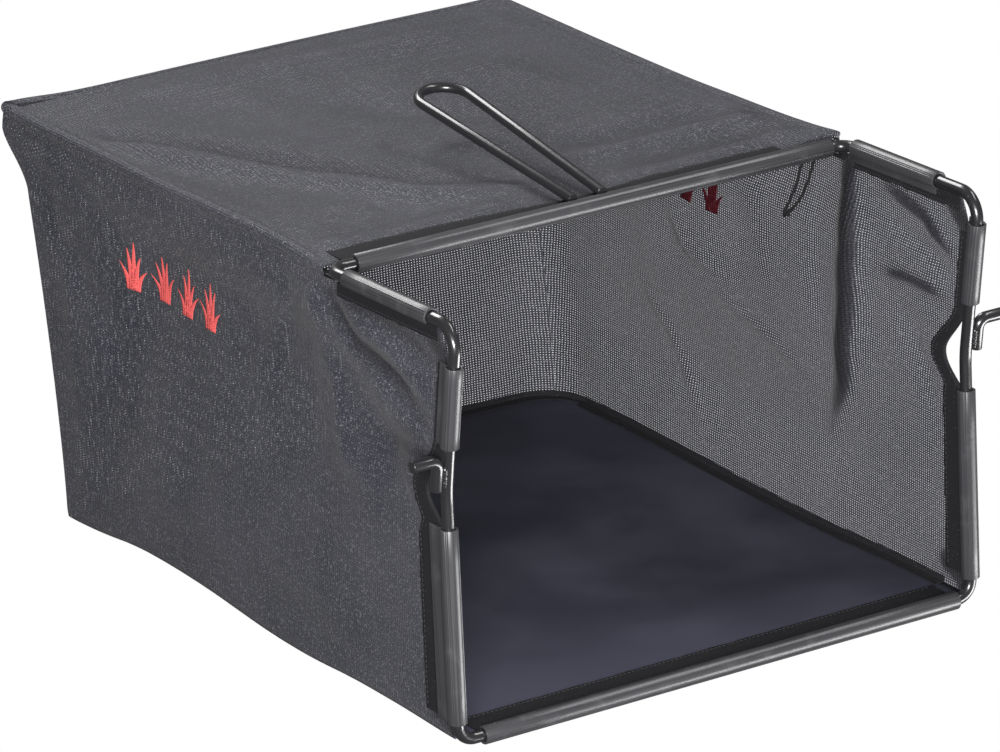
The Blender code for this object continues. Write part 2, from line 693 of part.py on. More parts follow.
def catmull(points, spacing):
    """A smooth curve through chosen points, with a point about every spacing."""
    smooth = []
    padded = [points[0]] + points + [points[-1]]
    for before, start, end, after in zip(padded, padded[1:], padded[2:], padded[3:]):
        count = max(1, round((end - start).length / spacing))
        for k in range(count):
            t = k / count
            smooth.append(0.5 * (
                2 * start
                + (end - before) * t
                + (2 * before - 5 * start + 4 * end - after) * t * t
                + (3 * start - before - 3 * end + after) * t ** 3
            ))
    return smooth + [points[-1]]


def build_twine():
    leaf_under = TOP_BAR_Z - LEAF_IN - CLIP_WALL - GAP
    y = TOP_BAR_Y + CLIP_LEAF - 3.0
    low = leaf_under - TWINE_DROP
    route = [
        Vector((TWINE_X + TWINE_SPREAD, y, leaf_under)),
        Vector((TWINE_X + TWINE_SPREAD - 1, y + 1, leaf_under - TWINE_DROP * 0.3)),
        Vector((TWINE_X - 0.45 * TWINE_SWAY + 3, y + 2, leaf_under - TWINE_DROP * 0.75)),
        Vector((TWINE_X - TWINE_SWAY, y + 3, low)),
        Vector((TWINE_X - TWINE_SWAY - 2.5, y + 2, low + 3)),
        Vector((TWINE_X - 0.5 * TWINE_SWAY - 4, y + 2, leaf_under - TWINE_DROP * 0.7)),
        Vector((TWINE_X - TWINE_SPREAD - 1, y + 1, leaf_under - TWINE_DROP * 0.3)),
        Vector((TWINE_X - TWINE_SPREAD, y, leaf_under)),
    ]
    rod("tie_cord", catmull(route, 2.4 * TWINE_D), TWINE_D, TWINE, sides=2)


build_front_frame()
build_rear_wire()
build_loop()
for bag_side in SIDES:
    build_pin(bag_side)
build_clips()
for bag_side in SIDES:
    build_side(bag_side)
build_roof()
build_rear()
build_floor()
build_bindings()
build_seams()
build_sleeves()
build_twine()

# The origin stands under the middle of the box around the whole bag
REAR_MOST = BAG_DEPTH_TOP + CLOTH_T / 2
UPPER_CLIP_FRONT = upright_y(UPPER_CLIP_Z["right"][1]) - CLIP_OUT * UPPER_DIR.z
FRONT_MOST = min(UPPER_CLIP_FRONT, -CLIP_OUT)
origin.location = (0, -(REAR_MOST + FRONT_MOST) / 2 * MM, 0)
bpy.context.view_layer.update()
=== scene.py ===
"""Looks of a scarifier's collection bag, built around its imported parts.

Lengths are in millimetres in the bag's own frame: X across the mouth, +Y into the bag, +Z up,
with Y measured from the bottom bar. world() turns them into the frame's metres.
"""

import math
from collections import namedtuple

import bmesh
import bpy
import numpy as np
from mathutils import Matrix, Vector, noise

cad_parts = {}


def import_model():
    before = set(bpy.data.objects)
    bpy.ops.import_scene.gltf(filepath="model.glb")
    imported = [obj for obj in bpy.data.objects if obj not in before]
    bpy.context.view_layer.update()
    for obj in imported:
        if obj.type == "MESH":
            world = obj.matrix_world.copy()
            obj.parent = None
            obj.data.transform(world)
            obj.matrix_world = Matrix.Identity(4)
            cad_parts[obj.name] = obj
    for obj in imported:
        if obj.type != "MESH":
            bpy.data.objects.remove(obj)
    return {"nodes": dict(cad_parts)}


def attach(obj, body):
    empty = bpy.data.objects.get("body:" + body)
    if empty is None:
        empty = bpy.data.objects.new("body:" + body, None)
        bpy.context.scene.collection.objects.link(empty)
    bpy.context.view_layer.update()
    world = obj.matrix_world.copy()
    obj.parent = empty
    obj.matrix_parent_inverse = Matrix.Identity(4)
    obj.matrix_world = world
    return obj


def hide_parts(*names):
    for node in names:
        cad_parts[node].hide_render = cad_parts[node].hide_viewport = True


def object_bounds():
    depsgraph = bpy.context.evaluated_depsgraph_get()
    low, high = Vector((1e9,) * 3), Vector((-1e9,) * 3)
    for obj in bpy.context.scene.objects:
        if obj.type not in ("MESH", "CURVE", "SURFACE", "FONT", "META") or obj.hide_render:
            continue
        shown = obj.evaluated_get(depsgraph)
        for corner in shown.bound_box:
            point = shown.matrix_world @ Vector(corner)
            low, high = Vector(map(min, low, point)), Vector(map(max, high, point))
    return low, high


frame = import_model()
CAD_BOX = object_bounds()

MM = 0.001

# Sizes of the bag
ROD_D = 8.0
MOUTH_W = 404.0
SHOULDER_Z = 285.0
MOUTH_LEAN = 4.0
TOP_BAR_Y = 141.0
TOP_BAR_Z = 279.5
FOOT_BEND = 12.0
SHOULDER_BEND = 16.0
TOP_BEND = 12.0
WAIST_SET_BACK = 9.0
WAIST_UNDER_PIN = 3.0
WAIST_BEND = 100.0
CLIP_CLEARANCE = 0.4
CLIP_WALL = 1.6
CLIP_LEAF = 18.0
CLIP_LIP_ANGLE = 300.0
ARM_CLIP_LENGTH = {"left": 95.0, "right": 90.0}
LOWER_CLIP_LENGTH = 130.0
CLIP_GAPS = {
    "top": {"left": 8.0, "right": 0.3},
    "bottom": {"left": 6.0, "right": 0.3},
    "arm": {"left": 11.0, "right": 0.3},
    "upper_low": {"left": 3.0, "right": 10.0},
    "upper_high": {"left": 8.0, "right": 0.3},
    "lower": {"left": 0.3, "right": 0.8},
}
PIN_D = 8.0
PIN_HEIGHT = 190.0
PIN_DROP = 21.0
PIN_REACH = 19.5
PIN_BEND = 6.0
LOOP_D = 7.0
LOOP_ROOT_SPACING = 23.0
LOOP_END_RADIUS = 18.2
LOOP_REACH = 182.0
LOOP_RISE = 22.0
TAPE_T = 0.7
TAPE_W = 22.0
BAG_DEPTH = 476.0
REAR_TOP_Z = 276.5
REAR_LEAN = 38.0
HEM_STEP = 29.5
HEM_STEP_START = 0.80
HEM_STEP_END = 0.95
SIDE_BULGE = 9.0
ROOF_SAG = 3.0
FLOOR_SLOPE = 150.0
FLOOR_LOW_Z = 0.4
REAR_FOOT_Z = 0.3
BAY_DEPTH = 17.0
BAY_OVER_CLIPS = 1.5
BAY_SKEW = 0.7
SEAM_TAPE = 8.0
WIRE_BEND = 18.0
TWINE_D = 1.8
TWINE_LAY = 4.2
CLOTH_T = 0.15
FLOOR_CLOTH_T = 0.5
PRINT_T = 0.08

# Derived places
ROD_R = ROD_D / 2
HALF_W = MOUTH_W / 2
CLIP_IN = ROD_R + CLIP_CLEARANCE
CLIP_OUT = CLIP_IN + CLIP_WALL
BOTTOM_Z = CLIP_OUT
LEAF_IN = 1.7
FOLD_HALF = 1.4
FOLD_START = 4.3
CLOTH_START = 5.3
TOP_FRONT_Y = TOP_BAR_Y + CLOTH_START
REAR_TOP_Y = BAG_DEPTH + REAR_LEAN + HEM_STEP
FLAT_ABOVE = SHOULDER_Z - CLOTH_START - TAPE_W - 3.0
SEAM_ZONE = BOTTOM_Z + SEAM_TAPE + 1.7
SIDES = {"left": -1, "right": 1}
REAR_FACE_Y = REAR_TOP_Y + 0.4
SHIFT_Y = REAR_FACE_Y - CAD_BOX[1].y / MM


def world(point):
    """A place in the bag's millimetres, as metres in the frame."""
    return Vector((point[0], point[1] - SHIFT_Y, point[2])) * MM


# Camera: a long lens from the left of the mouth and above it

AZIMUTH = math.radians(33.85)
ELEVATION = math.radians(21.23)
ROLL = math.radians(-0.726)
LENS = 268.92
DISTANCE = 4939.3
LOOK_AT = (0.4, 250.0, 127.45)


def build_camera():
    forward = Vector((
        math.sin(AZIMUTH) * math.cos(ELEVATION),
        math.cos(AZIMUTH) * math.cos(ELEVATION),
        -math.sin(ELEVATION),
    ))
    level = Vector((math.cos(AZIMUTH), -math.sin(AZIMUTH), 0))
    upright = level.cross(forward)
    right = level * math.cos(ROLL) + upright * math.sin(ROLL)
    up = right.cross(forward)
    data = bpy.data.cameras.new("camera")
    data.lens = LENS
    data.sensor_width = 36
    data.clip_end = 100
    camera = bpy.data.objects.new("camera", data)
    bpy.context.scene.collection.objects.link(camera)
    turn = Matrix((right, up, -forward)).transposed().to_4x4()
    camera.matrix_world = Matrix.Translation(world(LOOK_AT) - forward * DISTANCE * MM) @ turn
    bpy.context.scene.camera = camera


build_camera()


# Shader arithmetic

class Wire:
    """One output of a node. Arithmetic on it adds Math nodes."""

    def __init__(self, shade, socket):
        self.shade = shade
        self.socket = socket

    def math(self, operation, *values):
        return self.shade.add("ShaderNodeMath", {"operation": operation}, dict(enumerate(values)))

    def __add__(self, other):
        return self.math("ADD", self, other)

    def __radd__(self, other):
        return self.math("ADD", other, self)

    def __sub__(self, other):
        return self.math("SUBTRACT", self, other)

    def __rsub__(self, other):
        return self.math("SUBTRACT", other, self)

    def __mul__(self, other):
        return self.math("MULTIPLY", self, other)

    def __truediv__(self, other):
        return self.math("DIVIDE", self, other)

    def __abs__(self):
        return self.math("ABSOLUTE", self)

    def most(self, other):
        return self.math("MAXIMUM", self, other)

    def whole(self):
        return self.math("ROUND", self)

    def cosine(self):
        return self.math("COSINE", self)

    def ease(self, low, high):
        """0 below low, 1 above high, smooth between them. It falls where low is above high."""
        rising = low < high
        span = {0: self, 1: min(low, high), 2: max(low, high), 3: float(not rising), 4: float(rising)}
        return self.shade.add("ShaderNodeMapRange", {"interpolation_type": "SMOOTHSTEP"}, span)


class Shade:
    """A material with one Principled shader, and one method that adds any node."""

    def __init__(self, name, colour, roughness, metallic=0.0, **constants):
        self.material = bpy.data.materials.new(name)
        self.material.use_nodes = True
        self.tree = self.material.node_tree
        self.surface = self.tree.nodes["Principled BSDF"]
        self.set("Base Color", (*colour, 1))
        self.set("Roughness", roughness)
        self.set("Metallic", metallic)
        for socket, value in constants.items():
            self.set(socket.replace("_", " "), value)

    def feed(self, socket, value):
        if isinstance(value, Wire):
            self.tree.links.new(value.socket, socket)
        else:
            socket.default_value = value

    def set(self, name, value):
        self.feed(self.surface.inputs[name], value)

    def add(self, kind, settings=None, values=None, output=0):
        node = self.tree.nodes.new(kind)
        for key, value in (settings or {}).items():
            setattr(node, key, value)
        for key, value in (values or {}).items():
            self.feed(node.inputs[key], value)
        return Wire(self, node.outputs[output])

    def object_place(self):
        return self.add("ShaderNodeTexCoord", output="Object")

    def surface_place(self):
        return self.add("ShaderNodeUVMap", {"uv_map": "UVMap"})

    def split(self, vector):
        node = self.tree.nodes.new("ShaderNodeSeparateXYZ")
        self.feed(node.inputs[0], vector)
        return [Wire(self, output) for output in node.outputs]

    def join(self, x, y, z):
        return self.add("ShaderNodeCombineXYZ", {}, {0: x, 1: y, 2: z})

    def speckle(self, place, scale, detail=2.0, roughness=0.5):
        values = {"Vector": place, "Scale": scale, "Detail": detail, "Roughness": roughness}
        return self.add("ShaderNodeTexNoise", {}, values)

    def chance(self, number):
        """A random value for each whole number."""
        return self.add("ShaderNodeTexWhiteNoise", {"noise_dimensions": "1D"}, {"W": number})

    def blend(self, share, first, second):
        """Colours mixed by a share of the second one."""
        node = self.tree.nodes.new("ShaderNodeMix")
        node.data_type = "RGBA"
        self.feed(node.inputs[0], share)
        self.feed(node.inputs[6], first if isinstance(first, Wire) else (*first, 1))
        self.feed(node.inputs[7], second if isinstance(second, Wire) else (*second, 1))
        return Wire(self, node.outputs[2])

    def bump(self, height, distance, strength=1.0):
        values = {"Height": height, "Distance": distance, "Strength": strength}
        return self.add("ShaderNodeBump", {}, values)


# Finishes

WARP_PITCH = 2.2 * MM
WEFT_PITCH = 1.7 * MM
THREAD_HALF = 0.33


def weave(shade, half):
    """Cover and height of a plain weave on the piece's own UV map."""
    place = shade.surface_place()
    x, y, _ = shade.split(place)
    values = {"Vector": place, "Scale": 90.0, "Detail": 1.0}
    drift = shade.split(shade.add("ShaderNodeTexNoise", {}, values, output="Color"))
    u = x / WARP_PITCH + drift[0] * 0.6
    v = y / WEFT_PITCH + drift[1] * 0.6
    end = u.whole()
    pick = v.whole()
    off_end = abs(u - end)
    off_pick = abs(v - pick)
    warp = off_end.ease(half + 0.12, half - 0.12)
    weft = off_pick.ease(half + 0.12, half - 0.12)
    over = ((v + end) * math.pi).cosine()
    under = ((u + pick) * math.pi).cosine()
    warp_height = (1.2 - off_end * (1 / half) + over) * warp
    weft_height = (1.2 - off_pick * (1 / half) - under) * weft
    return warp.most(weft), warp_height.most(weft_height), end, pick


def mesh_cloth():
    """Open weave. Where it is pleated double, the fold attribute closes it and paints shade on it; the
    spark marks are painted glints on its threads.
    """
    shade = Shade("mesh_cloth", (0.04, 0.04, 0.046), 0.6, Specular_IOR_Level=0.3, Sheen_Weight=0.1)
    cover, height, end, pick = weave(shade, THREAD_HALF)
    place = shade.object_place()
    tone = shade.chance(end) * 0.3 + shade.chance(pick + 0.5) * 0.3
    dust = shade.speckle(place, 14.0, 3.0).ease(0.35, 0.75)
    painted_glint = shade.speckle(place, 700.0, 1.0).ease(0.55, 0.68)
    painted_crease_shade = shade.add("ShaderNodeAttribute", {"attribute_name": "fold"}, output="Fac")
    thread = shade.blend(tone, (0.021, 0.022, 0.032), (0.047, 0.048, 0.064))
    thread = shade.blend(dust * 0.35, thread, (0.064, 0.064, 0.080))
    # Painted glint: light specks on the threads stand in for their highlights
    thread = shade.blend(painted_glint * 0.5, thread, (0.20, 0.20, 0.22))
    # Painted shade: the fold attribute darkens the threads nearly to black in tight creases
    shade.set("Base Color", shade.blend(painted_crease_shade * 0.95, thread, (0.004, 0.004, 0.006)))
    shade.set("Roughness", 0.56 + dust * 0.14)
    shade.set("Alpha", cover.most(painted_crease_shade.ease(0.25, 0.75)))
    shade.set("Normal", shade.bump(height, 0.15 * MM, 1.0))
    return shade.material


def coated_cloth():
    shade = Shade("coated_cloth", (0.035, 0.036, 0.05), 0.42, Specular_IOR_Level=0.4)
    place = shade.object_place()
    cloud = shade.speckle(place, 9.0, 3.0).ease(0.3, 0.75)
    x, y, _ = shade.split(place)
    painted_mouth_light = (y + x * 0.5).ease(-0.06, -0.30)
    tone = shade.blend(cloud, (0.027, 0.027, 0.042), (0.057, 0.057, 0.082))
    # Painted light: the floor is lighter towards the front left by the mouth, where light comes in, and
    # stays darker to the rear and the right
    shade.set("Base Color", shade.blend(painted_mouth_light * 0.9, tone, (0.072, 0.072, 0.104)))
    shade.set("Roughness", 0.36 + cloud * 0.14)
    fine = shade.speckle(place, 700.0, 2.0)
    grain = shade.speckle(place, 140.0, 3.0)
    shade.set("Normal", shade.bump(fine * 0.4 + grain, 0.06 * MM, 0.7))
    return shade.material


def tape_cloth():
    shade = Shade("binding_tape", (0.016, 0.016, 0.018), 0.8, Specular_IOR_Level=0.25)
    x, y, _ = shade.split(shade.surface_place())
    rib = ((x + y * 0.5) * (2 * math.pi / (1.1 * MM))).cosine()
    cross = (y * (2 * math.pi / (0.9 * MM))).cosine()
    place = shade.object_place()
    lint = shade.speckle(place, 900.0, 1.0).ease(0.70, 0.76)
    shade.set("Base Color", shade.blend(lint * 0.5, (0.013, 0.013, 0.015), (0.16, 0.16, 0.165)))
    shade.set("Normal", shade.bump(rib * 0.6 + cross * 0.4, 0.10 * MM, 0.8))
    return shade.material


def painted_rod():
    shade = Shade("black_paint", (0.011, 0.011, 0.012), 0.2, Coat_Weight=0.5, Coat_Roughness=0.08)
    place = shade.object_place()
    wear = shade.speckle(place, 160.0, 4.0, 0.65).ease(0.66, 0.74)
    shade.set("Base Color", shade.blend(wear * 0.5, (0.016, 0.016, 0.018), (0.11, 0.11, 0.108)))
    shade.set("Roughness", 0.24 + shade.speckle(place, 60.0, 3.0) * 0.12 + wear * 0.2)
    peel = shade.speckle(place, 420.0, 2.0)
    shade.set("Normal", shade.bump(peel, 0.03 * MM, 0.2))
    return shade.material


def grey_plastic():
    shade = Shade("grey_plastic", (0.045, 0.045, 0.049), 0.34, Specular_IOR_Level=0.6)
    x, y, _ = shade.split(shade.surface_place())
    drawn = shade.speckle(shade.join(x * 6.0, y * 900.0, 0.0), 1.0, 3.0)
    place = shade.object_place()
    rub = shade.speckle(place, 55.0, 4.0, 0.6).ease(0.52, 0.75)
    tone = drawn.ease(0.3, 0.7) * 0.5 + rub * 0.4
    shade.set("Base Color", shade.blend(tone, (0.030, 0.030, 0.034), (0.085, 0.085, 0.090)))
    shade.set("Roughness", 0.33 + drawn * 0.05 + rub * 0.05)
    shade.set("Normal", shade.bump(drawn, 0.006 * MM, 0.2))
    return shade.material


def twine_fibre():
    shade = Shade("twine", (0.012, 0.012, 0.012), 0.75, Specular_IOR_Level=0.25)
    x, y, _ = shade.split(shade.surface_place())
    hair = shade.speckle(shade.join(x * 900.0, y * 60.0, 0.0), 1.0, 2.0)
    shade.set("Base Color", shade.blend(hair, (0.002, 0.002, 0.002), (0.014, 0.014, 0.014)))
    shade.set("Normal", shade.bump(hair, 0.08 * MM, 0.8))
    return shade.material


def sewing_thread():
    shade = Shade("sewing_thread", (0.03, 0.03, 0.032), 0.6)
    hair = shade.speckle(shade.object_place(), 1800.0, 2.0)
    shade.set("Base Color", shade.blend(hair, (0.015, 0.015, 0.017), (0.06, 0.06, 0.064)))
    shade.set("Normal", shade.bump(hair, 0.04 * MM, 0.6))
    return shade.material


def print_ink(name, bright, worn_tone):
    shade = Shade(name, bright, 0.5, Specular_IOR_Level=0.4)
    _, height, _, _ = weave(shade, 0.42)
    worn = shade.speckle(shade.object_place(), 120.0, 3.0).ease(0.62, 0.8)
    shade.set("Base Color", shade.blend(worn * 0.4, bright, worn_tone))
    shade.set("Normal", shade.bump(height, 0.05 * MM, 0.6))
    return shade.material


PAINT = painted_rod()
PLASTIC = grey_plastic()
MESH = mesh_cloth()
COATED = coated_cloth()
TAPE = tape_cloth()
TWINE = twine_fibre()
THREAD = sewing_thread()
CORAL = print_ink("coral_ink", (0.86, 0.13, 0.125), (0.62, 0.09, 0.09))
SOAKED = print_ink("soaked_ink", (0.055, 0.004, 0.008), (0.02, 0.002, 0.004))


# Making pieces, attaching them and hiding the parts they replace

def finish_piece(obj, slot, *nodes):
    """The piece rides on the bag's one body and stands for the named parts."""
    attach(obj, "root")
    if nodes:
        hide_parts(*nodes)
    return obj


def mesh_object(name, builder, material, crease=35):
    mesh = bpy.data.meshes.new(name)
    builder.to_mesh(mesh)
    builder.free()
    mesh.materials.append(material)
    mesh.shade_smooth()
    mesh.set_sharp_from_angle(angle=math.radians(crease))
    obj = bpy.data.objects.new(name, mesh)
    bpy.context.scene.collection.objects.link(obj)
    return obj


def thicken(obj, thickness):
    """Gives a sheet its thickness in millimetres, half of it on each side."""
    solid = obj.modifiers.new("thickness", "SOLIDIFY")
    solid.thickness = thickness * MM
    solid.offset = 0.0


def add_grid(builder, points, uvs, loop_rows=False, loop_columns=False, folds=None):
    """Quads over rows and columns of places in millimetres, with UVs in millimetres."""
    painted_crease_shade = builder.verts.layers.float
    painted_crease_shade = painted_crease_shade.get("fold") or painted_crease_shade.new("fold")
    layers = builder.loops.layers.uv
    layer = layers.get("UVMap") or layers.new("UVMap")
    rows, columns = points.shape[:2]
    verts = [[builder.verts.new(world(point)) for point in row] for row in points]
    # folds gives each place its painted shade, kept in the fold attribute
    if folds is not None:
        for row, values in zip(verts, folds):
            for vert, value in zip(row, values):
                vert[painted_crease_shade] = float(value)
    for j in range(rows if loop_rows else rows - 1):
        for i in range(columns if loop_columns else columns - 1):
            j1 = (j + 1) % rows
            i1 = (i + 1) % columns
            face = builder.faces.new((verts[j][i], verts[j][i1], verts[j1][i1], verts[j1][i]))
            for loop, (a, b) in zip(face.loops, ((j, i), (j, i + 1), (j + 1, i + 1), (j + 1, i))):
                a = min(a, uvs.shape[0] - 1)
                b = min(b, uvs.shape[1] - 1)
                loop[layer].uv = (uvs[a, b][0] * MM, uvs[a, b][1] * MM)
    return verts


def face_out(builder):
    bmesh.ops.remove_doubles(builder, verts=builder.verts, dist=0.02 * MM)
    bmesh.ops.recalc_face_normals(builder, faces=builder.faces)


def sweep(name, rings, around, along, material, crease=35):
    """A capped solid through matching closed rings, with UVs along and around it."""
    builder = bmesh.new()
    rings = np.array(rings)
    columns = rings.shape[1]
    around = np.append(around, around[-1] + (around[-1] - around[-2]))
    uvs = np.array([[(a, b) for b in around] for a in along])
    verts = add_grid(builder, rings, uvs, loop_columns=True)
    for ring in (verts[0][::-1], verts[-1]):
        builder.faces.new(ring)
    bmesh.ops.recalc_face_normals(builder, faces=builder.faces)
    caps = [face for face in builder.faces if len(face.verts) == columns]
    bmesh.ops.triangulate(builder, faces=caps)
    return mesh_object(name, builder, material, crease)


def path_lengths(points):
    steps = np.linalg.norm(np.diff(np.array(points, float), axis=0), axis=1)
    return np.concatenate([[0.0], np.cumsum(steps)])


# Node trees for what follows a path

def new_tree(name, sizes):
    tree = bpy.data.node_groups.new(name, "GeometryNodeTree")
    tree.interface.new_socket("Geometry", in_out="INPUT", socket_type="NodeSocketGeometry")
    for label, kind, value in sizes:
        socket = tree.interface.new_socket(label, in_out="INPUT", socket_type=kind)
        if value is not None:
            socket.default_value = value
    tree.interface.new_socket("Geometry", in_out="OUTPUT", socket_type="NodeSocketGeometry")
    return tree


def end_tree(tree, start, shape):
    """Real, finished geometry as the tree's result."""
    real = wire_up(tree, "GeometryNodeRealizeInstances", Geometry=shape)
    done = wire_up(
        tree, "GeometryNodeSetMaterial",
        Geometry=real.outputs[0], Material=start.outputs["Finish"],
    )
    end = tree.nodes.new("NodeGroupOutput")
    tree.links.new(done.outputs[0], end.inputs[0])
    return tree


def wire_up(tree, kind, settings=None, **inputs):
    """Adds one geometry node. Inputs are given by name, with spaces written as underscores."""
    node = tree.nodes.new(kind)
    for key, value in (settings or {}).items():
        setattr(node, key, value)
    for key, value in inputs.items():
        socket = node.inputs[key.replace("_", " ")]
        if isinstance(value, bpy.types.NodeSocket):
            tree.links.new(value, socket)
        else:
            socket.default_value = value
    return node


def round_rod_tree():
    """A round rod of one thickness along a path."""
    tree = new_tree("round_rod", [
        ("Radius", "NodeSocketFloat", 0.004),
        ("Sides", "NodeSocketInt", 28),
        ("Finish", "NodeSocketMaterial", None),
    ])
    start = tree.nodes.new("NodeGroupInput")
    path = wire_up(tree, "GeometryNodeMeshToCurve", Mesh=start.outputs["Geometry"])
    ring = wire_up(
        tree, "GeometryNodeCurvePrimitiveCircle",
        Resolution=start.outputs["Sides"], Radius=start.outputs["Radius"],
    )
    tube = wire_up(
        tree, "GeometryNodeCurveToMesh",
        Curve=path.outputs[0], Profile_Curve=ring.outputs["Curve"], Fill_Caps=True,
    )
    return end_tree(tree, start, tube.outputs[0])


def stitch_tree():
    """Short rounded stitches lying end to end along a path."""
    tree = new_tree("stitch_run", [
        ("Pitch", "NodeSocketFloat", 0.0035),
        ("Stitch Length", "NodeSocketFloat", 0.0026),
        ("Thread Radius", "NodeSocketFloat", 0.0003),
        ("Finish", "NodeSocketMaterial", None),
    ])
    start = tree.nodes.new("NodeGroupInput")
    path = wire_up(tree, "GeometryNodeMeshToCurve", Mesh=start.outputs["Geometry"])
    spots = wire_up(
        tree, "GeometryNodeCurveToPoints", {"mode": "LENGTH"},
        Curve=path.outputs[0], Length=start.outputs["Pitch"],
    )
    bead = wire_up(tree, "GeometryNodeMeshUVSphere", Segments=6, Rings=4, Radius=0.5)
    thick = wire_up(tree, "ShaderNodeMath", {"operation": "MULTIPLY"})
    tree.links.new(start.outputs["Thread Radius"], thick.inputs[0])
    thick.inputs[1].default_value = 2.0
    size = wire_up(
        tree, "ShaderNodeCombineXYZ",
        X=thick.outputs[0], Y=thick.outputs[0], Z=start.outputs["Stitch Length"],
    )
    laid = wire_up(
        tree, "GeometryNodeInstanceOnPoints",
        Points=spots.outputs["Points"], Instance=bead.outputs["Mesh"],
        Rotation=spots.outputs["Rotation"], Scale=size.outputs[0],
    )
    return end_tree(tree, start, laid.outputs[0])


def grow(name, tree, paths, closed=False, **sizes):
    """Runs a node tree on paths of places in millimetres, and keeps the result as a plain mesh."""
    builder = bmesh.new()
    for points in paths:
        verts = [builder.verts.new(world(point)) for point in points]
        for near, far in zip(verts, verts[1:]):
            builder.edges.new((near, far))
        if closed:
            builder.edges.new((verts[-1], verts[0]))
    mesh = bpy.data.meshes.new(name + "_path")
    builder.to_mesh(mesh)
    builder.free()
    guide = bpy.data.objects.new(name + "_path", mesh)
    bpy.context.scene.collection.objects.link(guide)
    modifier = guide.modifiers.new("run", "NODES")
    modifier.node_group = tree
    sockets = {item.name: item.identifier for item in tree.interface.items_tree if item.in_out == "INPUT"}
    for label, value in sizes.items():
        modifier[sockets[label.replace("_", " ")]] = value
    seen = guide.evaluated_get(bpy.context.evaluated_depsgraph_get())
    result = bpy.data.meshes.new_from_object(seen)
    guide.modifiers.remove(modifier)
    bpy.data.objects.remove(guide)
    result.name = name
    result.shade_smooth()
    result.set_sharp_from_angle(angle=math.radians(40))
    obj = bpy.data.objects.new(name, result)
    bpy.context.scene.collection.objects.link(obj)
    return obj


ROD_TREE = round_rod_tree()
STITCH_TREE = stitch_tree()


# The twine loop comes before the rest, on the route that its part follows

TWINE_X = HALF_W - 18.0
TWINE_LOW = 44.0
TWINE_TOP = TOP_BAR_Z - LEAF_IN - CLIP_WALL - 0.3
TWINE_Y = TOP_BAR_Y + CLIP_LEAF - 3.0
TWINE_ROUTE = [
    (TWINE_X + 5.0, TWINE_Y, TWINE_TOP),
    (TWINE_X + 4.0, TWINE_Y + 1, TWINE_TOP - TWINE_LOW * 0.3),
    (TWINE_X - 4.2, TWINE_Y + 2, TWINE_TOP - TWINE_LOW * 0.75),
    (TWINE_X - 16.0, TWINE_Y + 3, TWINE_TOP - TWINE_LOW),
    (TWINE_X - 18.5, TWINE_Y + 2, TWINE_TOP - TWINE_LOW + 3),
    (TWINE_X - 12.0, TWINE_Y + 2, TWINE_TOP - TWINE_LOW * 0.7),
    (TWINE_X - 6.0, TWINE_Y + 1, TWINE_TOP - TWINE_LOW * 0.3),
    (TWINE_X - 5.0, TWINE_Y, TWINE_TOP),
]


def smooth_route(points, spacing):
    """A smooth curve through chosen points, with a point about every spacing."""
    points = [Vector(point) for point in points]
    padded = [points[0]] + points + [points[-1]]
    line = []
    for before, start, end, after in zip(padded, padded[1:], padded[2:], padded[3:]):
        count = max(1, round((end - start).length / spacing))
        for k in range(count):
            t = k / count
            line.append(0.5 * (
                2 * start
                + (end - before) * t
                + (2 * before - 5 * start + 4 * end - after) * t * t
                + (3 * start - before - 3 * end + after) * t ** 3
            ))
    return line + [points[-1]]


def path_frames(points):
    """A direction and two square sides at each point, turning as little as they can."""
    frames = []
    side = None
    for k in range(len(points)):
        ahead = points[min(k + 1, len(points) - 1)] - points[max(k - 1, 0)]
        ahead = ahead.normalized()
        if side is None:
            side = ahead.orthogonal().normalized()
        side = (side - ahead * side.dot(ahead)).normalized()
        frames.append((ahead, side, ahead.cross(side)))
    return frames


def round_ring(centre, frame_sides, count, radius):
    """Points round a path's centre, with a radius for each angle."""
    _, side, other = frame_sides
    angles = [2 * math.pi * k / count for k in range(count)]
    return [centre + (side * math.cos(a) + other * math.sin(a)) * radius(a) for a in angles]


def build_twine():
    """Two twisted strands, laid round the route as one tube with a grooved section."""
    line = smooth_route(TWINE_ROUTE, 0.5)
    lengths = path_lengths(line)
    sides = 20
    rings = []
    for point, frame_sides, length in zip(line, path_frames(line), lengths):
        def strand(angle, turned=2 * math.pi * length / TWINE_LAY):
            return TWINE_D / 2 * (0.72 + 0.42 * abs(math.cos(angle - turned)))
        rings.append(round_ring(point, frame_sides, sides, strand))
    around = [math.pi * TWINE_D * k / sides for k in range(sides)]
    obj = sweep("twine", rings, around, lengths, TWINE, 60)
    finish_piece(obj, "twine", "tie_cord")
    world(TWINE_ROUTE[0])
    [world(point) for point in line]
    build_knot()


def build_knot():
    """The small overhand knot that draws the loop together at its low end."""
    centre = Vector(TWINE_ROUTE[3]) + Vector((2.0, 0, 1.6))
    turns = []
    for k in range(40):
        angle = 2 * math.pi * k / 39
        turns.append(centre + Vector((
            1.35 * math.sin(angle) + 0.8 * math.sin(2 * angle),
            0.9 * math.cos(3 * angle),
            1.35 * math.cos(angle) - 0.8 * math.cos(2 * angle),
        )))
    obj = grow("twine_knot", ROD_TREE, [turns], Radius=0.85 * MM, Sides=10, Finish=TWINE)
    return finish_piece(obj, "twine")


build_twine()


# Driving curves of the bag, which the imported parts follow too

def ease(value, low, high):
    t = np.clip((value - low) / (high - low), 0.0, 1.0)
    return t * t * (3 - 2 * t)


